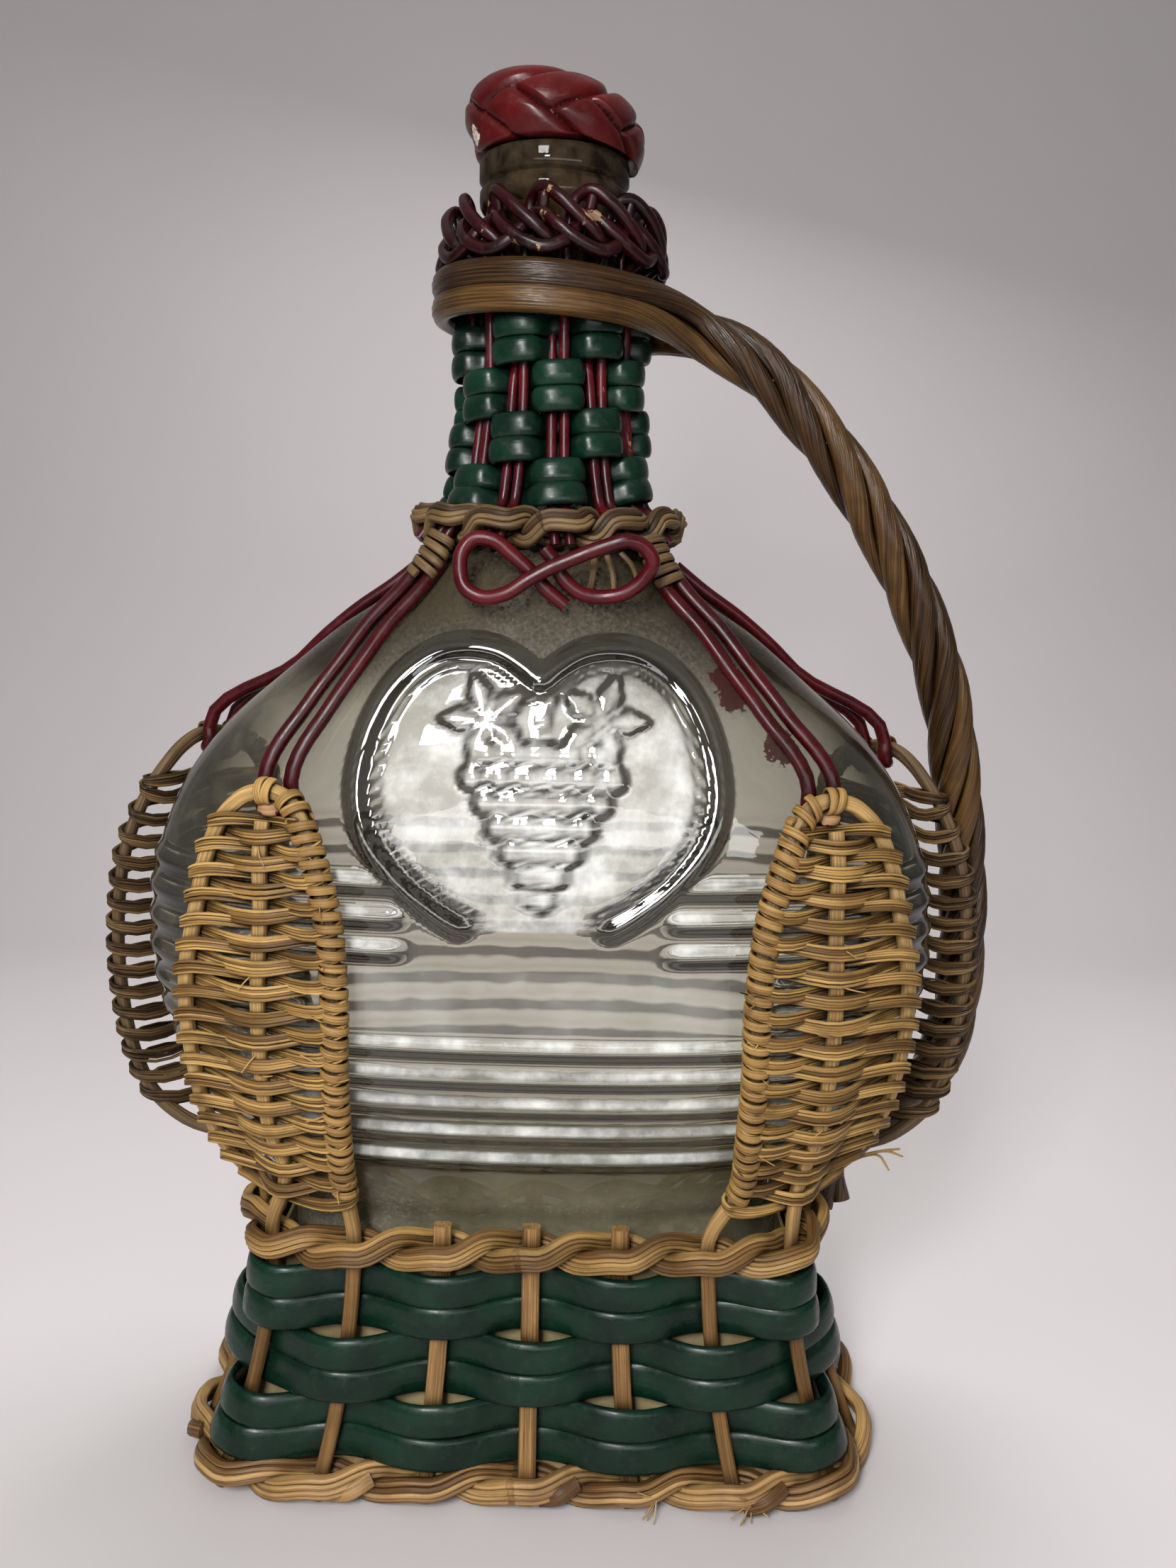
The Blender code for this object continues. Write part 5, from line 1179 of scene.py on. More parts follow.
def glass_material(look, dye_spots):
    """Thick clear bottle glass, dusty on the shoulders and the lip, with a patch of red dye, painted shade
    on its edges, steep places and ridge, and painted highlight inside the heart and on the ribs.
    """
    steep, painted_sheen, on_ridge = look.parts(look.attribute("lay", "Vector"))
    outside = look.attribute("tone")
    film = look.noise(*GLASS_FILM)
    lip = look.risen(LIP_DUST_Z, 0.85)
    climb = look.risen(SHOULDER_DUST_Z)
    # Painted shade: the glass darkens towards edge-on, standing in for the dark room it reflects
    tint_and_shade = look.ramp(look.node("LayerWeight", {"Blend": 0.4}).outputs["Facing"], *GLASS_TINTS_AND_EDGE_SHADE)
    # Painted shade: steep places and the heart's ridge are darkened
    tint_and_shade = look.mix(look.ramp(steep, (0.04, 0.0), (0.22, 0.97)), tint_and_shade, STEEP_SHADE)
    tint_and_shade = look.mix(look.ramp(on_ridge, (0.0, 0.0), (1.0, 0.90)), tint_and_shade, RIDGE_SHADE)
    look.put(look.shader.inputs, {
        "Base Color": look.mix(lip, tint_and_shade, LIP_TINT), "Transmission Weight": 1.0, "IOR": GLASS_IOR,
        "Roughness": look.ramp(film, (0.4, 0.0), (0.8, 0.07))})
    look.bump(look.noise(*GLASS_WAVES), GLASS_BUMP, 0.5)

    # How much dust covers the glass, which ribs and ridges keep bare
    grit = look.ramp(look.noise(*GLASS_GRIT), (0.40, 0.55), (0.66, 1.0))
    cloud = look.ramp(film, (0.42, 0.02), (0.60, 0.07), (0.78, 0.22))
    shoulder = look.sums("MULTIPLY", climb, grit, look.sums("SUBTRACT", 1.0, lip))
    share = look.sums("ADD", cloud, look.sums("ADD", shoulder, look.sums("MULTIPLY", lip, 0.72)))
    share = look.sums("ADD", share, look.sums("MULTIPLY", look.risen(FOOT_DUST_Z, 0.45), grit))
    bare = look.sums("MAXIMUM", look.ramp(steep, (0.05, 0.0), (0.30, 0.85)),
                     look.ramp(on_ridge, (0.0, 0.0), (1.0, 0.9)))
    share = look.sums("MULTIPLY", share, look.sums("SUBTRACT", 1.0, bare), outside)
    dye = look.sums("MULTIPLY", look.spots(dye_spots, 1.9), outside)
    share = look.sums("MAXIMUM", share, look.sums("MULTIPLY", dye, 0.85))

    # Its colour, pale below, dark on the shoulders and darkest on the lip
    murk = look.mix(look.ramp(climb, (0.05, 0.0), (0.45, 1.0)), look.ramp(film, *LOW_DUST),
                    look.ramp(film, *SHOULDER_DUST))
    murk = look.mix(look.ramp(lip, (0.2, 0.0), (0.8, 0.85)), murk,
                    look.ramp(look.noise(*LIP_STAIN), *LIP_DUST))
    dust = look.node("BsdfDiffuse", {"Color": look.mix(dye, murk, DYE)})

    # Painted highlight: the silvery sheen inside the heart, the gleam on the ribs and the lighter smooth
    # band
    painted_silver = look.ramp(look.noise(*PAINTED_SILVER_NOISE), (0.38, 0.20), (0.52, 0.42), (0.68, 0.78))
    painted_silver = look.sums("MULTIPLY", painted_silver, look.ramp(steep, (0.04, 1.0), (0.35, 0.0)), painted_sheen)
    sheen_coat = look.node("BsdfDiffuse", {"Color": PAINTED_SHEEN_COLOUR})
    clear = look.node("BsdfTransparent", {"Color": GLASS_SHADOW})
    shadow = look.node("LightPath").outputs["Is Shadow Ray"]
    body = look.shader
    for cover_share, cover in ((painted_silver, sheen_coat), (share, dust), (shadow, clear)):
        body = look.node("MixShader", {0: cover_share, 1: body.outputs[0], 2: cover.outputs[0]})
    look.put(look.tree.nodes["Material Output"].inputs, {"Surface": body.outputs[0]})


def speckled_material(look, dark, mid, light, scale, roughness, depth):
    """Cork, board and card: mottled, with pores or fibres."""
    mottle = look.noise(scale, 6.0, 0.7)
    look.put(look.shader.inputs, {
        "Base Color": look.ramp(mottle, (0.30, dark), (0.52, mid), (0.75, light)),
        "Roughness": look.ramp(mottle, (0.3, roughness + 0.1), (0.8, roughness - 0.1))})
    look.bump(mottle, depth)


def build_materials():
    """Every finish on the object, by its slot or look."""
    dye_spots = [(tuple(glass_at(x, z, 0.0, FRONT)[0]), radius) for x, z, radius in DYE_PLACES]
    scars = {"red_plastic": [(CHIP_PLACE, CHIP_RADIUS)], "border_strand": BORDER_SCARS,
             "bow_strand": BOW_SCARS, "hanger_strand": []}
    for _, side, hand in PANELS:
        bend = panel_rods(side, hand)[4][1] - UP * (STAKE_RADIUS + HANGER_RADIUS)
        scars["hanger_strand"].append((tuple(bend), HANGER_SCAR_RADIUS))
    paints = {name: (*values, scars.get(name, ())) for name, values in PAINTS.items()}
    paints["border_strand"] += (LOWER_BORDER,)
    made = {}
    for build, rows in ((glass_material, {"clear_glass": (dye_spots,)}), (speckled_material, SPECKLED),
                        (cane_material, CANES), (paint_material, paints)):
        for name, values in rows.items():
            look = Look(bpy.data.materials.new(name))
            build(look, *values)
            made[name] = look.made
    return made


# The flask

def ring_turns():
    """Angles of the points round the flask."""
    return (np.arange(SEGMENTS) + 0.5) * 2 * math.pi / SEGMENTS


def glass_rings(z, inset):
    """Rings of the plain glass outline, by rows of heights, and their half widths and depths."""
    wide, deep, power = np.array([glass_size(float(height)) for height in z]).T[:, :, None]
    x, y = rounded(ring_turns()[None, :], wide - inset, deep - inset, power)
    return np.stack([x, y, np.broadcast_to(z[:, None], x.shape)], axis=-1), wide, deep


def round_rings(rows, turn):
    """Level round rings, from radius and height."""
    return np.stack([np.stack([radius * np.cos(turn), radius * np.sin(turn), np.full(len(turn), z)], axis=-1)
                     for radius, z in rows])


def heart_outline():
    """Points of the heart's outline on the front, as x and z."""
    half = [Vector((x, z, 0.0)) for x, z in HEART_SHARES]
    right = smooth_path(half, HEART_STEPS)
    both = [Vector((-p.x, p.y, 0.0)) for p in reversed(right[1:])] + right
    tall = HEART_TOP_Z - HEART_BOTTOM_Z
    return np.array([(p.x * HEART_HALF_WIDTH, HEART_BOTTOM_Z + p.y * tall) for p in both])


def heart_place(x, z):
    """How near each point is to the heart's open line, and whether it lies inside."""
    line = heart_outline()
    near = np.full(x.shape, 1.0)
    inside = np.zeros(x.shape, dtype=bool)
    for index, ((ax, az), (bx, bz)) in enumerate(zip(line, np.roll(line, -1, axis=0))):
        dx, dz = bx - ax, bz - az
        if index < len(line) - 1:
            t = clipped(((x - ax) * dx + (z - az) * dz) / (dx * dx + dz * dz))
            near = np.minimum(near, np.hypot(x - ax - t * dx, z - az - t * dz))
        crosses = (az > z) != (bz > z)
        inside ^= crosses & (x < ax + (z - az) * dx / (dz if abs(dz) > SMALL else SMALL))
    return near, inside


def motif_relief(x, z):
    """Height of the bunch of grapes with its stem and two leaves."""
    out = np.zeros(x.shape)
    for row, count in enumerate(GRAPE_ROWS):
        for place in range(count):
            gx = BUNCH_X + (place - (count - 1) / 2) * GRAPE_PITCH
            gz = BUNCH_TOP_Z - row * GRAPE_PITCH * GRAPE_ROW_SHARE
            away = ((x - gx) ** 2 + (z - gz) ** 2) / GRAPE_RADIUS ** 2
            out = np.maximum(out, GRAPE_RELIEF * np.sqrt(np.maximum(1 - away, 0.0)))
    middle, lobe, tooth = LEAF_EDGE
    for hand in (-1.0, 1.0):
        lx, lz = x - BUNCH_X - hand * LEAF_REACH, z - BUNCH_TOP_Z - LEAF_RISE
        turn = np.arctan2(lz, hand * lx)
        edge = LEAF_RADIUS * (middle + lobe * np.cos(LEAF_LOBES * turn)
                              + tooth * np.cos(3 * LEAF_LOBES * turn))
        within = clipped((edge - np.hypot(lx, lz)) / LEAF_BEVEL)
        vein = (1 - LEAF_VEINS) + LEAF_VEINS * np.cos(LEAF_LOBES * turn)
        out = np.maximum(out, LEAF_RELIEF * within * vein)
    stem = np.abs((x - BUNCH_X) - STEM_LEAN * (z - BUNCH_TOP_Z - LEAF_RISE))
    along = (z > BUNCH_TOP_Z) & (z < BUNCH_TOP_Z + STEM_LENGTH)
    return np.maximum(out, np.where(along, LEAF_RELIEF * clipped(1.2 - stem / STEM_RADIUS), 0.0))


def outer_skin():
    """The flask's outside below its finish, and the marks on it: steepness for painted shade, painted
    highlight, and ridge.
    """
    ribs_foot = FIRST_RIB_Z - RIB_PITCH / 2
    ribs_top = FIRST_RIB_Z + (RIB_COUNT - 0.5) * RIB_PITCH
    relief_top = HEART_TOP_Z + RIDGE_WIDTH
    heel = np.arange(HEEL_STEPS) * math.pi / 2 / HEEL_STEPS
    z = np.concatenate([BOTTLE_BASE_Z + HEEL_RADIUS * (1 - np.cos(heel)),
                        np.arange(BOTTLE_BASE_Z + HEEL_RADIUS, ribs_foot, 3 * FINE_STEP),
                        np.arange(ribs_foot, relief_top, FINE_STEP),
                        np.arange(relief_top, FINISH_START_Z, 2 * FINE_STEP)])
    inset = np.zeros(len(z))
    inset[:HEEL_STEPS] = HEEL_RADIUS * (1 - np.sin(heel))
    plain, wide, deep = glass_rings(z, inset[:, None])
    x, y, height = np.moveaxis(plain, -1, 0)

    # Ribs, cut off by the smooth band and the heart's field on the front
    front = y < 0
    band_z = FIRST_RIB_Z + (LOWER_RIBS - 0.5) * RIB_PITCH
    field_z = band_z + BAND_RIBS * RIB_PITCH
    ribbed = (height > ribs_foot) & (height < ribs_top)
    band = front & (height > band_z) & (height < field_z)
    fade = np.where(band, clipped((np.abs(x) - BAND_HALF_WIDTH) / FADE), 1.0)
    fade = np.where(front & (height >= field_z), clipped((np.abs(x) - HEART_FIELD_HALF_WIDTH) / FADE), fade)
    wave = 0.5 + 0.5 * np.cos(2 * math.pi * (height - FIRST_RIB_Z) / RIB_PITCH)
    out = np.where(ribbed, RIB_RELIEF * wave ** RIB_SHARPNESS * fade, 0.0)

    # The heart's ridge, the fine line inside it and the motif
    near, inside = heart_place(x, height)
    share = clipped(near / (RIDGE_WIDTH / 2))
    bead = np.where(inside, clipped(1 - np.abs(near - BEAD_INSET) / BEAD_HALF_WIDTH), 0.0)
    relief = np.maximum(RIDGE_RELIEF * np.cos(share * math.pi / 2) ** RIDGE_SHARPNESS,
                        BEAD_RELIEF * np.sin(bead * math.pi / 2))
    out = np.maximum(out, np.where(front, np.maximum(relief, motif_relief(x, height)), 0.0))
    # Painted highlight: a silvery sheen inside the heart
    painted_sheen = np.where(inside & front, clipped((near - RIDGE_WIDTH / 2) / RIDGE_WIDTH), 0.0)
    on_ridge = np.where(front, clipped((1 - share) * 3), 0.0)

    # Steep places get painted shade, less of it on the ribs' upper sides, which get a painted highlight
    along = np.hypot(*(np.roll(rows, -1, axis=1) - np.roll(rows, 1, axis=1) for rows in (x, y)))
    across_slope = (np.roll(out, -1, axis=1) - np.roll(out, 1, axis=1)) / along
    climb = np.gradient(out, axis=0) / np.gradient(height, axis=0)
    steep = clipped(np.hypot(climb, across_slope))
    on_ribs = ribbed & (painted_sheen == 0) & (on_ridge == 0)
    steep = np.where(on_ribs & (climb < 0), steep * UPPER_SIDE_SHADE_SHARE, steep)
    middle = clipped((GLEAM_HALF_WIDTH - np.abs(x)) / GLEAM_FADE)
    painted_sheen = np.where(on_ribs & front, middle * clipped((-climb - GLEAM_SLOPE) * RIB_GLEAM), painted_sheen)
    # Painted highlight: a lighter sheen over the smooth band
    painted_sheen = np.where(band & (fade == 0), BAND_PAINTED_SHEEN, painted_sheen)
    length = np.hypot(x / wide, y / deep)
    skin = np.stack([x + out * x / wide / length, y + out * y / deep / length, height], axis=-1)
    return skin, np.stack([steep, painted_sheen, on_ridge], axis=-1)


def build_flask():
    """The bottle's outside with its ribs, heart and motif, its finish and its plain inside."""
    outer, marked = outer_skin()
    step_out = FINISH_RADIUS - NECK_RADIUS
    lip = [(NECK_RADIUS + reach * step_out, FINISH_START_Z + share * FINISH_HEIGHT)
           for share, reach in LIP_SHARES]
    lip += [(BORE_RADIUS + LIP_ROUND, FINISH_TOP_Z), (BORE_RADIUS, FINISH_TOP_Z - LIP_ROUND),
            (BORE_RADIUS, FINISH_TOP_Z - BORE_LENGTH)]
    shoulder_z = BODY_WIDEST_Z + INNER_SHOULDER_SHARES[-1] * (NECK_START_Z - BODY_WIDEST_Z)
    floor_z = BOTTLE_BASE_Z + BOTTOM_WALL
    inner, _, _ = glass_rings(np.arange(shoulder_z, floor_z + HEEL_RADIUS, -2 * FINE_STEP), BODY_WALL)
    floor, _, _ = glass_rings(np.array([floor_z]), BODY_WALL + HEEL_RADIUS)
    rings = np.vstack([outer, round_rings(lip, ring_turns()), inner, floor])
    outside = np.zeros(len(rings))
    outside[:len(outer) + len(LIP_SHARES)] = 1.0
    marks = np.zeros(rings.shape)
    marks[:len(outer)] = marked
    flask = Strands().skin(rings, marks, outside[:, None])
    flask.piece("flask", "clear_glass", "clear_glass", "glass_bottle", angle=40)


def build_cap():
    """The red cap with its big moulded plait, leaning as it was put on."""
    share = np.linspace(0.0, 1.0, CAP_LEVELS + 1)
    fine = np.array([blend_rows(CAP_OUTLINE, value) for value in share])
    radius = CAP_RADIUS * np.minimum(fine[:, 0], 1.0)
    high = CAP_HEIGHT * fine[:, 1]
    slope_r, slope_z = np.gradient(radius), np.gradient(high)
    length = np.hypot(slope_r, slope_z)
    out_r, out_z = (slope_z / length)[:, None], (-slope_r / length)[:, None]
    around = np.arange(CAP_RING)[None, :] / CAP_RING
    v = share[:, None]

    # Straps that climb one way below the level where they meet, and the other way above it
    turned = around * CAP_LOBES + CAP_TURN
    half = turned % 1.0
    meeting = CAP_LOW + (1 - np.abs(2 * half - 1)) / (2 * CAP_SLOPE)
    straps = []
    for way, passing in ((1.0, half < 0.5), (-1.0, half >= 0.5)):
        place = (turned + way * CAP_SLOPE * (v - CAP_LOW)) % 1.0
        dive = np.where(passing, clipped(way * (meeting - v) / CAP_DIVE) ** 0.5, 1.0)
        straps.append((1 - np.abs(2 * place - 1) ** CAP_CREST) * dive)
    depth = CAP_GROOVE * np.interp(share, CAP_GROOVE_LEVELS, CAP_GROOVE_DEPTHS)[:, None]
    drop = depth * (1 - np.where(v < meeting, *straps))
    ring_r = radius[:, None] - drop * out_r
    ring_z = high[:, None] - drop * out_z
    turn = 2 * math.pi * around
    x, y = ring_r * np.cos(turn), ring_r * np.sin(turn)
    lean = np.interp(share, CAP_LEAN_FROM, (0.0, 1.0))[:, None]
    rings = np.stack([x, y, CAP_BASE_Z + ring_z - CAP_LEAN_SLOPE * x * lean], axis=-1)
    cap = Strands().skin(rings, rings)
    cap.piece("plaited_cap", "red_plastic", "red_plastic", "stopper_cap", "stopper", 60)


def build_cork():
    """The cork under the cap."""
    radius = BORE_RADIUS - CORK_CLEARANCE
    top_z = CAP_BASE_Z - SEAT_GAP
    turn = np.arange(CORK_RING) * 2 * math.pi / CORK_RING
    rings = round_rings([(radius * share, top_z - CORK_LENGTH * down) for share, down in CORK_SHARES], turn)
    cork = Strands().skin(rings, rings)
    cork.piece("cork_shank", "cork", "cork", "stopper_cork", "stopper", 40)


# The basket

def build_basket():
    """The strips and the stakes that are cut short."""
    top_z = STRIPS_BOTTOM_Z + STRIP_ROWS * ROW_PITCH - ROW_GAP
    section = section_of("strip", STRIP_HEIGHT, STRIP_THICKNESS, STRIP_SWELL)
    for row in range(STRIP_ROWS):
        for half, label in enumerate(("upper", "lower")):
            z = top_z - row * ROW_PITCH - STRIP_HEIGHT / 2 - half * (STRIP_HEIGHT + WEAVE_GAP)
            flat = STRIP_FLAT / stake_spacing(z)
            places, crests = [], []
            for stake in range(STAKE_COUNT):
                front = (stake + row) % 2
                for place in (stake - flat, stake + flat):
                    level = z + rng.uniform(-1.0, 1.0) * STRIP_WANDER
                    places.append(wall_point(place, level, STRIP_SWING if front else -STRIP_SWING))
                    crests.append(STRIP_CRESTS[front])
            label = "strip_%d_%s" % (row + 1, label)
            strip = Strands().strand(places, section, FINE_STEPS, True, seed=row * 0.7 + half * 0.31,
                                     widen=crests, tone=rng.random())
            strip.piece(label, "green_strip", "green_strip", "basket_" + label)
    section = section_of("stake", STAKE_WIDTH, 2 * STAKE_RADIUS)
    for side, middle in (("front", 0), ("back", STAKE_COUNT // 2)):
        for number in range(3):
            stake = middle + number - 1
            label = "stake_%s_%d" % (side, number + 1)
            leg = Strands().strand(stake_leg(stake, RIM_TOP_Z + SHORT_STAKE_STAND), section,
                                   seed=0.37 * stake, tone=0.2 + 0.4 * rng.random())
            leg.piece(label, "foot_cane", "foot_cane", "short_" + label)


def twined(pieces, slot, look, count, point_at, half_flat, swing, lift, z, radius, ends=None):
    """Strands that twine round a ring of stakes, each a bundle of fine splits."""
    fibres, spread, thick, ragged = look
    rounds = 1 + count % 2
    for strand, (name, node) in enumerate(pieces.items()):
        places = []
        for stake in range(count * rounds):
            stops = ((stake - half_flat, stake), (stake + half_flat, stake), (stake + 0.5, stake + 0.5))
            for place, turn in stops:
                phase = math.pi * (turn + strand)
                places.append(point_at(place, z + lift * math.sin(phase), swing * math.cos(phase)))
        path, outward = refine(places, STEPS, True)
        across = unit(np.cross(unit(np.roll(path, -1, axis=0) - np.roll(path, 1, axis=0)), outward))
        width = 2 * radius * spread / fibres
        section = section_of("twine", width * SPLIT_OVERLAP, radius * thick)
        bundle = Strands()
        for fibre in range(fibres):
            place = fibre - (fibres - 1) / 2
            drift = wander(len(path), ragged * radius)
            drift = drift * np.sin(np.linspace(0.0, math.pi, len(path))) ** 0.3
            arch = thick * radius * SPLIT_ARCH * (1 - (2 * place / fibres) ** 2)
            sunk = (SPLIT_SINK * thick - 0.98) * radius
            middle = path + across * (place * width + drift)[:, None] + outward * (arch - sunk)
            bundle.sweep(middle, outward, section, True, seed=0.9 * fibre + strand, tone=rng.random())
        if ends and strand == 0:
            ends(bundle)
        bundle.piece(name, slot, slot, node)


def foot_ends(bundle):
    """The cut and frayed ends along the braided foot."""
    radius = FOOT_STRAND_RADIUS
    for stake, lean, length in FOOT_ENDS:
        start, normal = wall_point(stake, FOOT_RING_Z + radius, FOOT_SWING)
        ahead = wall_point(stake + FOOT_END_AHEAD, FOOT_RING_Z, FOOT_SWING)[0] - start
        way = Vector((ahead.x, ahead.y, 0.0)).normalized() * lean
        end = start + way * length - UP * (start.z - radius) * FOOT_END_DROP
        end -= normal * radius * FOOT_END_SINK
        middle = start.lerp(end, 0.5) + normal * radius * FOOT_END_BULGE
        bundle.end((start - normal * radius, middle, end), normal, FOOT_END_WIDTH, radius, rng.random())
    for stake in FOOT_TUFTS:
        start, normal = wall_point(stake, FOOT_RING_Z, FOOT_SWING)
        for _ in range(HAIRS_PER_TUFT):
            way = Vector((rng.uniform(-0.7, 0.7), 0.0, rng.uniform(-0.9, 0.4)))
            tip = start + (way + normal * 0.25).normalized() * FOOT_END_WIDTH * rng.uniform(1.0, 1.6)
            tip.z = max(tip.z, HAIR_WIDTH)
            bundle.end((start, start.lerp(tip, 0.5) + normal * HAIR_WIDTH, tip), normal, HAIR_WIDTH,
                       HAIR_WIDTH * HAIR_FLATNESS, 1.0)


# Panels

def faced(points):
    """Points with their level directions away from the bottle."""
    return [(point, level_normal(point)) for point in points]


def build_panel_looks(label, side, hand):
    """A panel's rods, its fine weave, the wrapped arch and the red hanger."""
    stakes, outer, centre, inner, arch = panel_rods(side, hand)
    # Painted shade: the back panels get a darker copy of the cane
    look = "panel_cane" if side == FRONT else "shaded_back_cane"
    section = section_of("panel_rod", PANEL_ROD_WIDTH, PANEL_ROD_DEPTH)
    seed = hand * 0.2 + side * 0.1
    legs = [stake_leg(stake, RIM_TOP_Z) + faced(free) for stake, free in zip(stakes, (outer, centre, inner))]
    bend = faced(smooth_path([outer[-1]] + arch + [inner[-1]], EASY_STEPS)[1:-1])
    Strands().strand(legs[0] + bend + legs[2][::-1], section, seed=0.5 + seed, tone=0.75).piece(
        "panel_frame_" + label, look, "panel_cane", "frame_rod_" + label)

    arch_z = max(point.z for point in arch)
    middle = [point for point, _ in legs[1]]
    stop_z = min(arch_z - ROD_STOP_BELOW_ARCH, middle[-1].z)
    places = [place for place in legs[1] if place[0].z < stop_z - 2 * STAKE_RADIUS]
    places += faced([at_height(middle, stop_z)])
    Strands().strand(places, section, seed=0.8 + seed, tone=0.6).piece(
        "panel_rib_" + label, look, "panel_cane", "centre_rod_" + label)

    ends = faced([outer[-1]]) + bend + faced([inner[-1]])
    runs = [[Vector(point) for point in refine(places)[0]] for places in (*legs, ends)]
    weave(label, side, runs, arch_z)
    hang(label, side, hand, arch)


def weave(label, side, runs, arch_z):
    """Bands of fine splits that wind over and under the three rods, and the wrapping round the rods."""
    outer, centre, inner, bend = runs
    start_z = RIM_Z + (FRONT_WEAVE_ABOVE_RIM if side == FRONT else BACK_WEAVE_ABOVE_RIM)
    top_z = arch_z - WEAVE_STOP_BELOW_ARCH * TOP_ROW_SHARE
    rows = int(round((top_z - start_z) / BAND_PITCH))
    pitch = (top_z - start_z) / rows
    places, widths = [], []

    def chord_at(z):
        start, end = at_height(outer, z), at_height(inner, z)
        chord = Vector((end.x - start.x, end.y - start.y, 0.0)).normalized()
        normal = Vector((chord.y, -chord.x, 0.0))
        return chord, -normal if normal.dot(start) < 0 else normal

    def put(rod, z, across, out, width):
        chord, normal = chord_at(z)
        places.append((at_height(rod, z) + chord * across + normal * out, normal))
        widths.append(width)

    face = PANEL_ROD_DEPTH / 2 + FIBRE_THICKNESS / 2 + WEAVE_GAP / 3
    edge = PANEL_ROD_WIDTH / 2 + FIBRE_THICKNESS / 2
    for row in range(rows):
        z = start_z + (row + 0.5) * pitch
        low_down = 1 - row / (rows - 1)
        sag = -(SAG_LEAST + (SAG_MOST - SAG_LEAST) * low_down ** 1.5) * rng.uniform(0.75, 1.2)
        way = 1 if row % 2 == 0 else -1
        near, far = (outer, inner) if way > 0 else (inner, outer)
        if row == 0:
            put(near, z, 0.0, face, START_WIDEN)
        put(centre, z + sag, 0.0, -way * face, BEHIND_WIDEN if way > 0 else BEFORE_WIDEN)
        put(far, z, 0.0, way * face, END_WIDEN)
        if row < rows - 1:
            put(far, z + pitch / 3, way * edge, way * face * TURN_SHARE, TURN_WIDEN)
            put(far, z + 2 * pitch / 3, way * edge, -way * face * TURN_SHARE, TURN_WIDEN)
            put(far, z + pitch, 0.0, -way * face, 1.0)
    path, _ = refine(places)
    widen = spread_out(widths, STEPS)
    forward = unit(np.vstack([path[1:2] - path[:1], path[2:] - path[:-2], path[-1:] - path[-2:-1]]))
    facing = unit(np.cross(forward, np.array([0.0, 0.0, 1.0])))
    across = unit(np.cross(forward, facing))
    body = Strands()
    width = BAND_WIDTH / BAND_FIBRES
    section = section_of("band", width * BAND_OVERLAP, FIBRE_THICKNESS)
    for fibre in range(BAND_FIBRES):
        place = fibre - (BAND_FIBRES - 1) / 2
        drift = wander(len(path), BAND_WANDER * width)
        swell = 1.0 + wander(len(path), BAND_SWELL)
        middle = path + across * ((place * width * widen + drift)[:, None])
        tones = clipped(0.5 + wander(len(path), BAND_TONES))
        body.sweep(middle, facing, section, seed=rng.uniform(0.0, MOST_SEED), widen=widen * swell,
                   tone=tones[:, None])

    # Wrapping of the inner rod, of the arch's top and of the bend beyond it
    coil = [(p, chord_at(p.z)[1]) for p in inner if start_z + pitch < p.z < top_z + pitch]
    top = max(range(len(bend)), key=lambda i: bend[i].z)
    away = [(p - bend[top]).length for p in bend]
    knot = faced([p for p, reach in zip(bend, away) if reach < ARCH_WRAP_HALF])
    clear = ARCH_WRAP_HALF + HANGER_RADIUS * 2
    beyond = faced([p for i, p in enumerate(bend) if i > top and away[i] > clear])
    wraps = [(coil, (coil[-1][0].z - coil[0][0].z) / WRAP_PITCH, ROD_WRAP),
             (knot, 2 * ARCH_WRAP_HALF / WRAP_PITCH * KNOT_TIGHTNESS, ARCH_WRAP)]
    if len(beyond) > 2:
        wraps.append((beyond, (beyond[-1][0] - beyond[0][0]).length / WRAP_PITCH, BEND_WRAP))
    for core, turns, (off, tone) in wraps:
        body.wrap(core, edge + FIBRE_THICKNESS * off, face + FIBRE_THICKNESS * off, turns, WRAP_WIDTH,
                  FIBRE_THICKNESS * WRAP_FLATNESS, tone)

    # Hairs, and the long ends on the front right panel
    for _ in range(PANEL_HAIRS if side == FRONT else 0):
        z = rng.uniform(start_z, top_z)
        rod = rng.choice((centre, inner))
        chord, normal = chord_at(z)
        start = at_height(rod, z) + normal * face
        way = (chord * rng.uniform(-1.0, 1.0) + UP * rng.uniform(-1.0, 0.6) + normal * 0.12).normalized()
        tip = start + way * (HAIR_LENGTH * rng.uniform(0.5, 1.2))
        middle = start.lerp(tip, 0.5) + normal * HAIR_LENGTH * 0.04
        body.end((start - normal * FIBRE_THICKNESS, middle, tip), normal, HAIR_WIDTH,
                 HAIR_WIDTH * HAIR_FLATNESS, 0.9)
    for rise, fall, length in STRAY_ENDS if label == "front_right" else ():
        chord, normal = chord_at(start_z + rise)
        start = at_height(outer, start_z + rise) + normal * face - chord * edge
        middle = start - chord * length * 0.5 + normal * HAIR_LENGTH * 0.15
        tip = start - chord * length - UP * fall + normal * HAIR_LENGTH * 0.05
        body.end((start + chord * edge - normal * FIBRE_THICKNESS, middle, tip), normal,
                 HAIR_WIDTH * STRAY_WIDEN, HAIR_WIDTH * STRAY_THICKEN, 0.9)
    # Painted shade: the back weave gets a darker copy of the cane
    body.piece("panel_weave_" + label, "weave_cane" if side == FRONT else "shaded_back_weave_cane", "panel_cane",
               "panel_weaver_" + label)


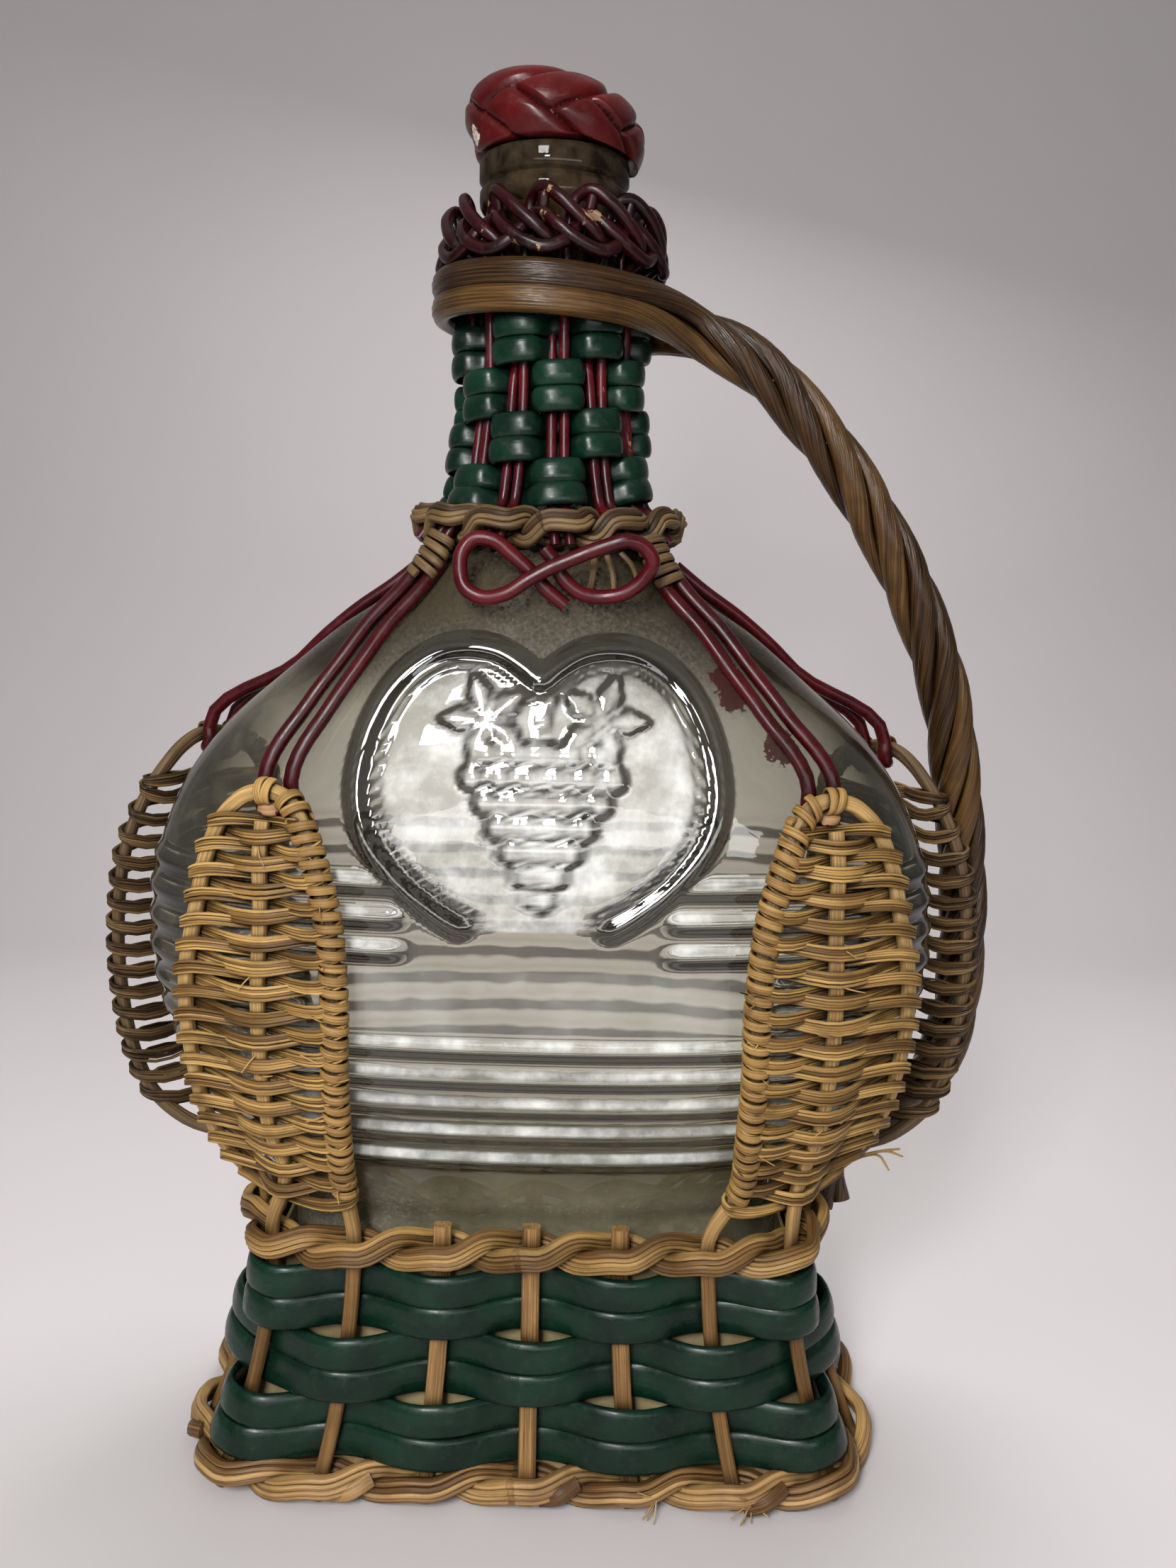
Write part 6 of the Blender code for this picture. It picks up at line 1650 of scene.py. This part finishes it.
def hang(label, side, hand, arch):
    """The red hairpin that carries the panel."""
    top = arch[1]
    away = level_normal(top)
    across = arch[2] - arch[0]
    across.z = 0.0
    across.normalize()
    stand_off = HANGER_RADIUS + HANGER_EASE
    behind = STAKE_RADIUS + HANGER_RADIUS + 2 * WEAVE_GAP
    below = STAKE_RADIUS + HANGER_RADIUS + WEAVE_GAP
    start_z = COLLAR_BOTTOM_Z - SEAT_GAP - HANGER_RADIUS
    shares = FRONT_HANGER_SHARES[:-1] if side == FRONT else BACK_HANGER_SHARES
    shift = hand * FRONT_SHIFT_SHARE if side == FRONT else 0.0
    legs = []
    for way in (-1.0, 1.0):
        leg = []
        for down, share in shares:
            z = start_z + (top.z - start_z) * down
            point, _ = on_glass(share + shift * down, z, stand_off, side, hand)
            spread = HANGER_ROOT_SPACING + (HANGER_SPACING - HANGER_ROOT_SPACING) * down
            leg.append(point + across * way * spread / 2)
        half = across * way * HANGER_SPACING / 2
        leg.append(top + half - away * behind + UP * below / 2)
        leg.append(top + half - away * behind - UP * below / 2)
        leg.append(top + half * HOOK_SHARES[0] - away * behind * HOOK_SHARES[1] - UP * below)
        legs.append(leg)
    points = legs[0] + [top - UP * below * HOOK_SHARES[2]] + legs[1][::-1]
    section = section_of("hanger", 2 * HANGER_RADIUS * HANGER_WIDEN, 2 * HANGER_RADIUS)
    Strands().strand(list(zip(points, carried_normals(points, away))), section, seed=hand + side).piece(
        "hanger_pin_" + label, "hanger_strand", "maroon_strand", "hanger_" + label)


# Neck, collar, bow, handle

def build_neck():
    """Hairpins with the cut stubs between them, and the spiral strips."""
    section = section_of("hairpin", 2 * NECK_ROD_RADIUS, 2 * NECK_ROD_RADIUS)
    stub_section = section_of("stub", STUB_WIDTH, STUB_WIDTH * STUB_FLATNESS)
    feet = [(COLLAR_BOTTOM_Z, COLLAR_STAND_OFF), (COLLAR_TOP_Z - COLLAR_STRAND_RADIUS, COLLAR_STAND_OFF)]
    feet += [(COLLAR_TOP_Z + share * (NECK_START_Z - COLLAR_TOP_Z), NECK_STAND_OFF)
             for share in ROD_EASE_SHARES]
    half = NECK_ROD_SPACING / 2
    inset = column_share(half, BORDER_Z)

    def border_point(place, reach, rise):
        return neck_point(place, BORDER_Z + rise * BORDER_RISE, reach * BORDER_REACH)

    for column in range(COLUMN_COUNT):
        last = column + HAIRPIN_COLUMN_COUNT
        width = HAIRPIN_COLUMN_COUNT - 2 * inset
        places = [neck_point(column + column_share(half, z), z, 0.0, stand_off) for z, stand_off in feet]
        places += [border_point(column + inset + passed * width, reach, rise)
                   for passed, reach, rise in BORDER_SHARES]
        places.append(neck_point(last - inset, SLEEVE_TOP_Z))
        places += [neck_point(last - column_share(half, z), z, 0.0, stand_off)
                   for z, stand_off in reversed(feet)]
        sizes = [1.0] * len(feet) + [1.0 + (BORDER_SWELL - 1.0) * max(reach, 0.0)
                                     for _, reach, _ in BORDER_SHARES] + [1.0] * (len(feet) + 1)
        swag = [border_point(column + SWAG_SHIFT + passed * HAIRPIN_COLUMN_COUNT, reach, rise)
                for passed, reach, rise in SWAG_SHARES]
        stub = [neck_point(column + STUB_COLUMN + STUB_LEAN * step, BORDER_Z + STUB_RISE * step,
                           STUB_REACH * step) for step in STUB_SHARES]
        pin = Strands()
        pin.strand(places, section, seed=column * 0.77, scale=sizes, tone=rng.random())
        pin.strand(swag, section, seed=column * 0.53, scale=[SWAG_SWELL] * len(swag), tone=rng.random())
        pin.strand(stub, stub_section, STUB_STEPS, seed=column * 0.31, tone=1.0)
        label = "hairpin_%02d" % (column + 1)
        pin.piece(label, "border_strand", "maroon_strand", "neck_" + label)

    section = section_of("sleeve_strip", NECK_STRIP_HEIGHT, NECK_STRIP_THICKNESS, SLEEVE_SWELL)
    climb = SLEEVE_TOP_Z - NECK_PITCH / 4 - NECK_STRIP_HEIGHT / 2 - SLEEVE_START_Z
    half_flat = NECK_ROD_SPACING / 2 + NECK_ROD_RADIUS + WEAVE_GAP / 2
    for label, way in (("upper", 1.0), ("lower", -1.0)):
        places, crests = [], []
        for crossing in range(-SLEEVE_TUCK, int(climb / NECK_PITCH * COLUMN_COUNT)):
            level_z = SLEEVE_START_Z + NECK_PITCH * crossing / COLUMN_COUNT + way * NECK_PITCH / 4
            front = crossing % 2 == 0
            swing = NECK_STRIP_SWING if front else -NECK_STRIP_SWING
            for hand in (-1.0, 1.0):
                shift = hand * column_share(half_flat * (PILLOW_SPREAD if front else 1.0), level_z)
                z = level_z + NECK_PITCH * shift / COLUMN_COUNT
                places.append(neck_point(crossing + shift, z, swing))
                crests.append(SLEEVE_CRESTS[front])
        Strands().strand(places, section, seed=way, widen=crests).piece(
            "sleeve_" + label, "green_strip", "green_strip", "neck_strip_" + label)


def build_bow_looks():
    """The red figure-eight in front of the collar."""
    depth = glass_size(COLLAR_Z)[1] + COLLAR_STAND_OFF + COLLAR_SWING + COLLAR_STRAND_RADIUS
    face = BOW_TUCK - (depth + SEAT_GAP + BOW_RADIUS)
    layer_gap = 2 * BOW_RADIUS + WEAVE_GAP
    places = []
    for x, high, layer in BOW_SHARES:
        place = (BOW_SHIFT + x * BOW_HALF_WIDTH, face - layer * layer_gap, BOW_BASE_Z + high * BOW_HEIGHT)
        places.append((Vector(place), Vector((0.0, FRONT, 0.0))))
    section = section_of("bow", 2 * BOW_RADIUS * BOW_WIDEN, 2 * BOW_RADIUS)
    Strands().strand(places, section).piece("bow", "bow_strand", "maroon_strand", "front_bow")


def collar_point(column, z, offset):
    """A point of the collar, which stands off the sleeve's feet."""
    return neck_point(column, z, offset, COLLAR_STAND_OFF)


def collar_ends(bundle):
    """Knots where the hangers leave the collar, and the cut ends of the ties."""
    start_z = COLLAR_BOTTOM_Z - SEAT_GAP - HANGER_RADIUS
    for hand in (-1.0, 1.0):
        core = []
        for step in range(KNOT_LEVELS + 1):
            up = 1 - step / KNOT_LEVELS
            z = start_z + KNOT_RISE * up - KNOT_DROP * step / KNOT_LEVELS
            point, normal = on_glass(KNOT_SHARE, min(z, COLLAR_Z), HANGER_RADIUS + HANGER_EASE, FRONT, hand)
            core.append((point + normal * (COLLAR_SWING * KNOT_SWING_SHARE * up), normal))
        bundle.wrap(core, HANGER_ROOT_SPACING / 2 + HANGER_RADIUS * KNOT_ASIDE, HANGER_RADIUS * KNOT_DEPTH,
                    (core[0][0] - core[-1][0]).length / KNOT_PITCH, KNOT_WIDTH, FIBRE_THICKNESS, 0.75)
    for x, z, aside, down in TIE_ENDS:
        start, normal = glass_at(x, z, COLLAR_SWING, FRONT)
        tip = start + Vector((aside, 0.0, -down)) + normal * HAIR_LENGTH * 0.1
        middle = start.lerp(tip, 0.5) + normal * HAIR_LENGTH * 0.2
        bundle.end((start, middle, tip), normal, KNOT_WIDTH * TIE_END_SHARE, FIBRE_THICKNESS, 0.9)


def build_handle_looks():
    """Two canes, each doubled round the neck, whose four legs twist into the handle."""
    axis = handle_axis()
    ups = carried_normals(axis, UP)
    section = section_of("handle", 2 * CANE_RADIUS * HANDLE_WIDEN, 2 * CANE_RADIUS * HANDLE_FLATNESS)
    for name, sling_z, angles in (("upper", SLING_UPPER_Z, (45, -45)), ("lower", SLING_LOWER_Z, (135, 225))):
        legs = []
        for angle in angles:
            leg = []
            for i, point in enumerate(axis):
                along = (axis[min(i + 1, len(axis) - 1)] - axis[max(i - 1, 0)]).normalized()
                turn = math.radians(angle) + 2 * math.pi * TWIST_TURNS * i / (len(axis) - 1)
                radial = ups[i] * math.cos(turn) + along.cross(ups[i]) * math.sin(turn)
                leg.append((point + radial * LAY_RADIUS * LAY_SHARE, radial))
            legs.append(leg)
        sling = []
        for step in range(SLING_STEPS + 1):
            turn = -SLING_HALF_GAP - (2 * math.pi - 2 * SLING_HALF_GAP) * step / SLING_STEPS
            x, y = SLING_RADIUS * math.cos(turn), SLING_RADIUS * math.sin(turn)
            sling.append((Vector((x, y, sling_z - SLING_LEAN_SLOPE * x)),
                          Vector((math.cos(turn), math.sin(turn), 0.0))))
        path, outward = refine(legs[0][::-1] + sling + legs[1])
        rope = (len(axis) - 1) * STEPS
        place = np.arange(len(path))
        in_sling = clipped(np.minimum(place - rope, len(path) - rope - place) / (2 * STEPS))
        cane = Strands()
        cane.sweep(path + outward * CANE_RADIUS * HANDLE_RAISE, outward, section, seed=len(name),
                   widen=HANDLE_LEG_WIDEN + (1.0 - HANDLE_LEG_WIDEN) * in_sling, tone=rng.uniform(0.2, 0.8))
        cane.piece("handle_" + name, "handle_cane", "handle_cane", "handle_cane_" + name)


# Studio

def aimed(place, target):
    """The turn of a lamp or camera at a place that looks at a target."""
    return (Vector(target) - Vector(place)).to_track_quat("-Z", "Y")


def build_studio():
    """Floor, soft lights and the camera at the photograph's angle."""
    profile = [(-FLOOR_HALF_WIDTH, 0.0)]
    for step in range(BACKDROP_STEPS + 1):
        angle = math.pi / 2 * step / BACKDROP_STEPS
        profile.append((BACKDROP_Y + BACKDROP_BEND * math.sin(angle), BACKDROP_BEND * (1 - math.cos(angle))))
    profile.append((BACKDROP_Y + BACKDROP_BEND, BACKDROP_TOP))
    mesh = bpy.data.meshes.new("floor")
    mesh.from_pydata([(x, y, z) for y, z in profile for x in (-FLOOR_HALF_WIDTH, FLOOR_HALF_WIDTH)], [],
                     [(2 * i, 2 * i + 1, 2 * i + 3, 2 * i + 2) for i in range(len(profile) - 1)])
    mesh.shade_smooth()
    look = Look(bpy.data.materials.new("pale_floor"))
    mottle = look.ramp(look.noise(FLOOR_MOTTLE), *FLOOR_COLOURS)
    look.put(look.shader.inputs, {"Base Color": mottle, "Roughness": FLOOR_ROUGHNESS})
    mesh.materials.append(look.made)
    floor = link("floor", mesh)

    world = bpy.data.worlds.new("studio")
    bpy.context.scene.world = world
    look = Look(world, "Background")
    way = look.parts(look.node("TexCoord").outputs["Generated"])["Z"]
    room = look.ramp(look.sums("ADD", look.sums("MULTIPLY", way, 0.5), 0.5), *ROOM_STOPS)
    look.put(look.shader.inputs, {"Color": room, "Strength": ROOM_STRENGTH})
    for name, (place, width, height, power, diffuse, glossy) in LAMPS.items():
        lamp = bpy.data.lights.new(name, "AREA")
        lamp.shape = "RECTANGLE"
        lamp.size = width
        lamp.size_y = height
        lamp.energy = power
        made = link(name, lamp)
        made.location = place
        made.rotation_euler = aimed(place, LAMP_TARGET).to_euler()
        made.visible_camera = False
        made.visible_transmission = False
        made.visible_diffuse = diffuse
        made.visible_glossy = glossy

    camera = bpy.data.cameras.new("camera")
    camera.lens = CAMERA_LENS
    camera.sensor_width = CAMERA_SENSOR
    camera.clip_start = CAMERA_NEAR
    made = link("camera", camera)
    made.location = CAMERA_PLACE
    roll = Quaternion((0.0, 0.0, 1.0), math.radians(CAMERA_ROLL))
    made.rotation_euler = (aimed(CAMERA_PLACE, CAMERA_TARGET) @ roll).to_euler()
    bpy.context.scene.camera = made
    bpy.context.scene.view_settings.view_transform = "Standard"


rng = random.Random(7)
finish = build_materials()
build_flask()
build_cork()
build_cap()
build_basket()
half_flat_rim = (STAKE_RADIUS + WEAVE_GAP) / stake_spacing(RIM_Z)
half_flat_collar = column_share(NECK_ROD_SPACING / 2 + NECK_ROD_RADIUS + WEAVE_GAP, COLLAR_Z)
twined({"rim_cane_a": "rim_strand_a", "rim_cane_b": "rim_strand_b"}, "rim_cane", RIM_LOOK, STAKE_COUNT,
       wall_point, half_flat_rim, RIM_SWING, RIM_LIFT, RIM_Z, RIM_STRAND_RADIUS)
twined({"foot_cane_a": "foot_strand_a", "foot_cane_b": "foot_strand_b"}, "foot_cane", FOOT_LOOK, STAKE_COUNT,
       wall_point, half_flat_rim, FOOT_SWING, FOOT_LIFT * FOOT_LIFT_SHARE,
       FOOT_RING_Z + FOOT_STRAND_RADIUS * FOOT_RAISE_SHARE, FOOT_STRAND_RADIUS, foot_ends)
for label, side, hand in PANELS:
    build_panel_looks(label, side, hand)
build_neck()
twined({"collar_cane": "collar_strand"}, "collar_cane", COLLAR_LOOK, COLUMN_COUNT, collar_point,
       half_flat_collar, COLLAR_SWING, COLLAR_LIFT, COLLAR_Z, COLLAR_STRAND_RADIUS, collar_ends)
build_bow_looks()
build_handle_looks()
for node, slot in (("base_board", "base_wood"), ("basket_liner", "liner_card")):
    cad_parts[node].data.materials.clear()
    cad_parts[node].data.materials.append(finish[slot])
build_studio()
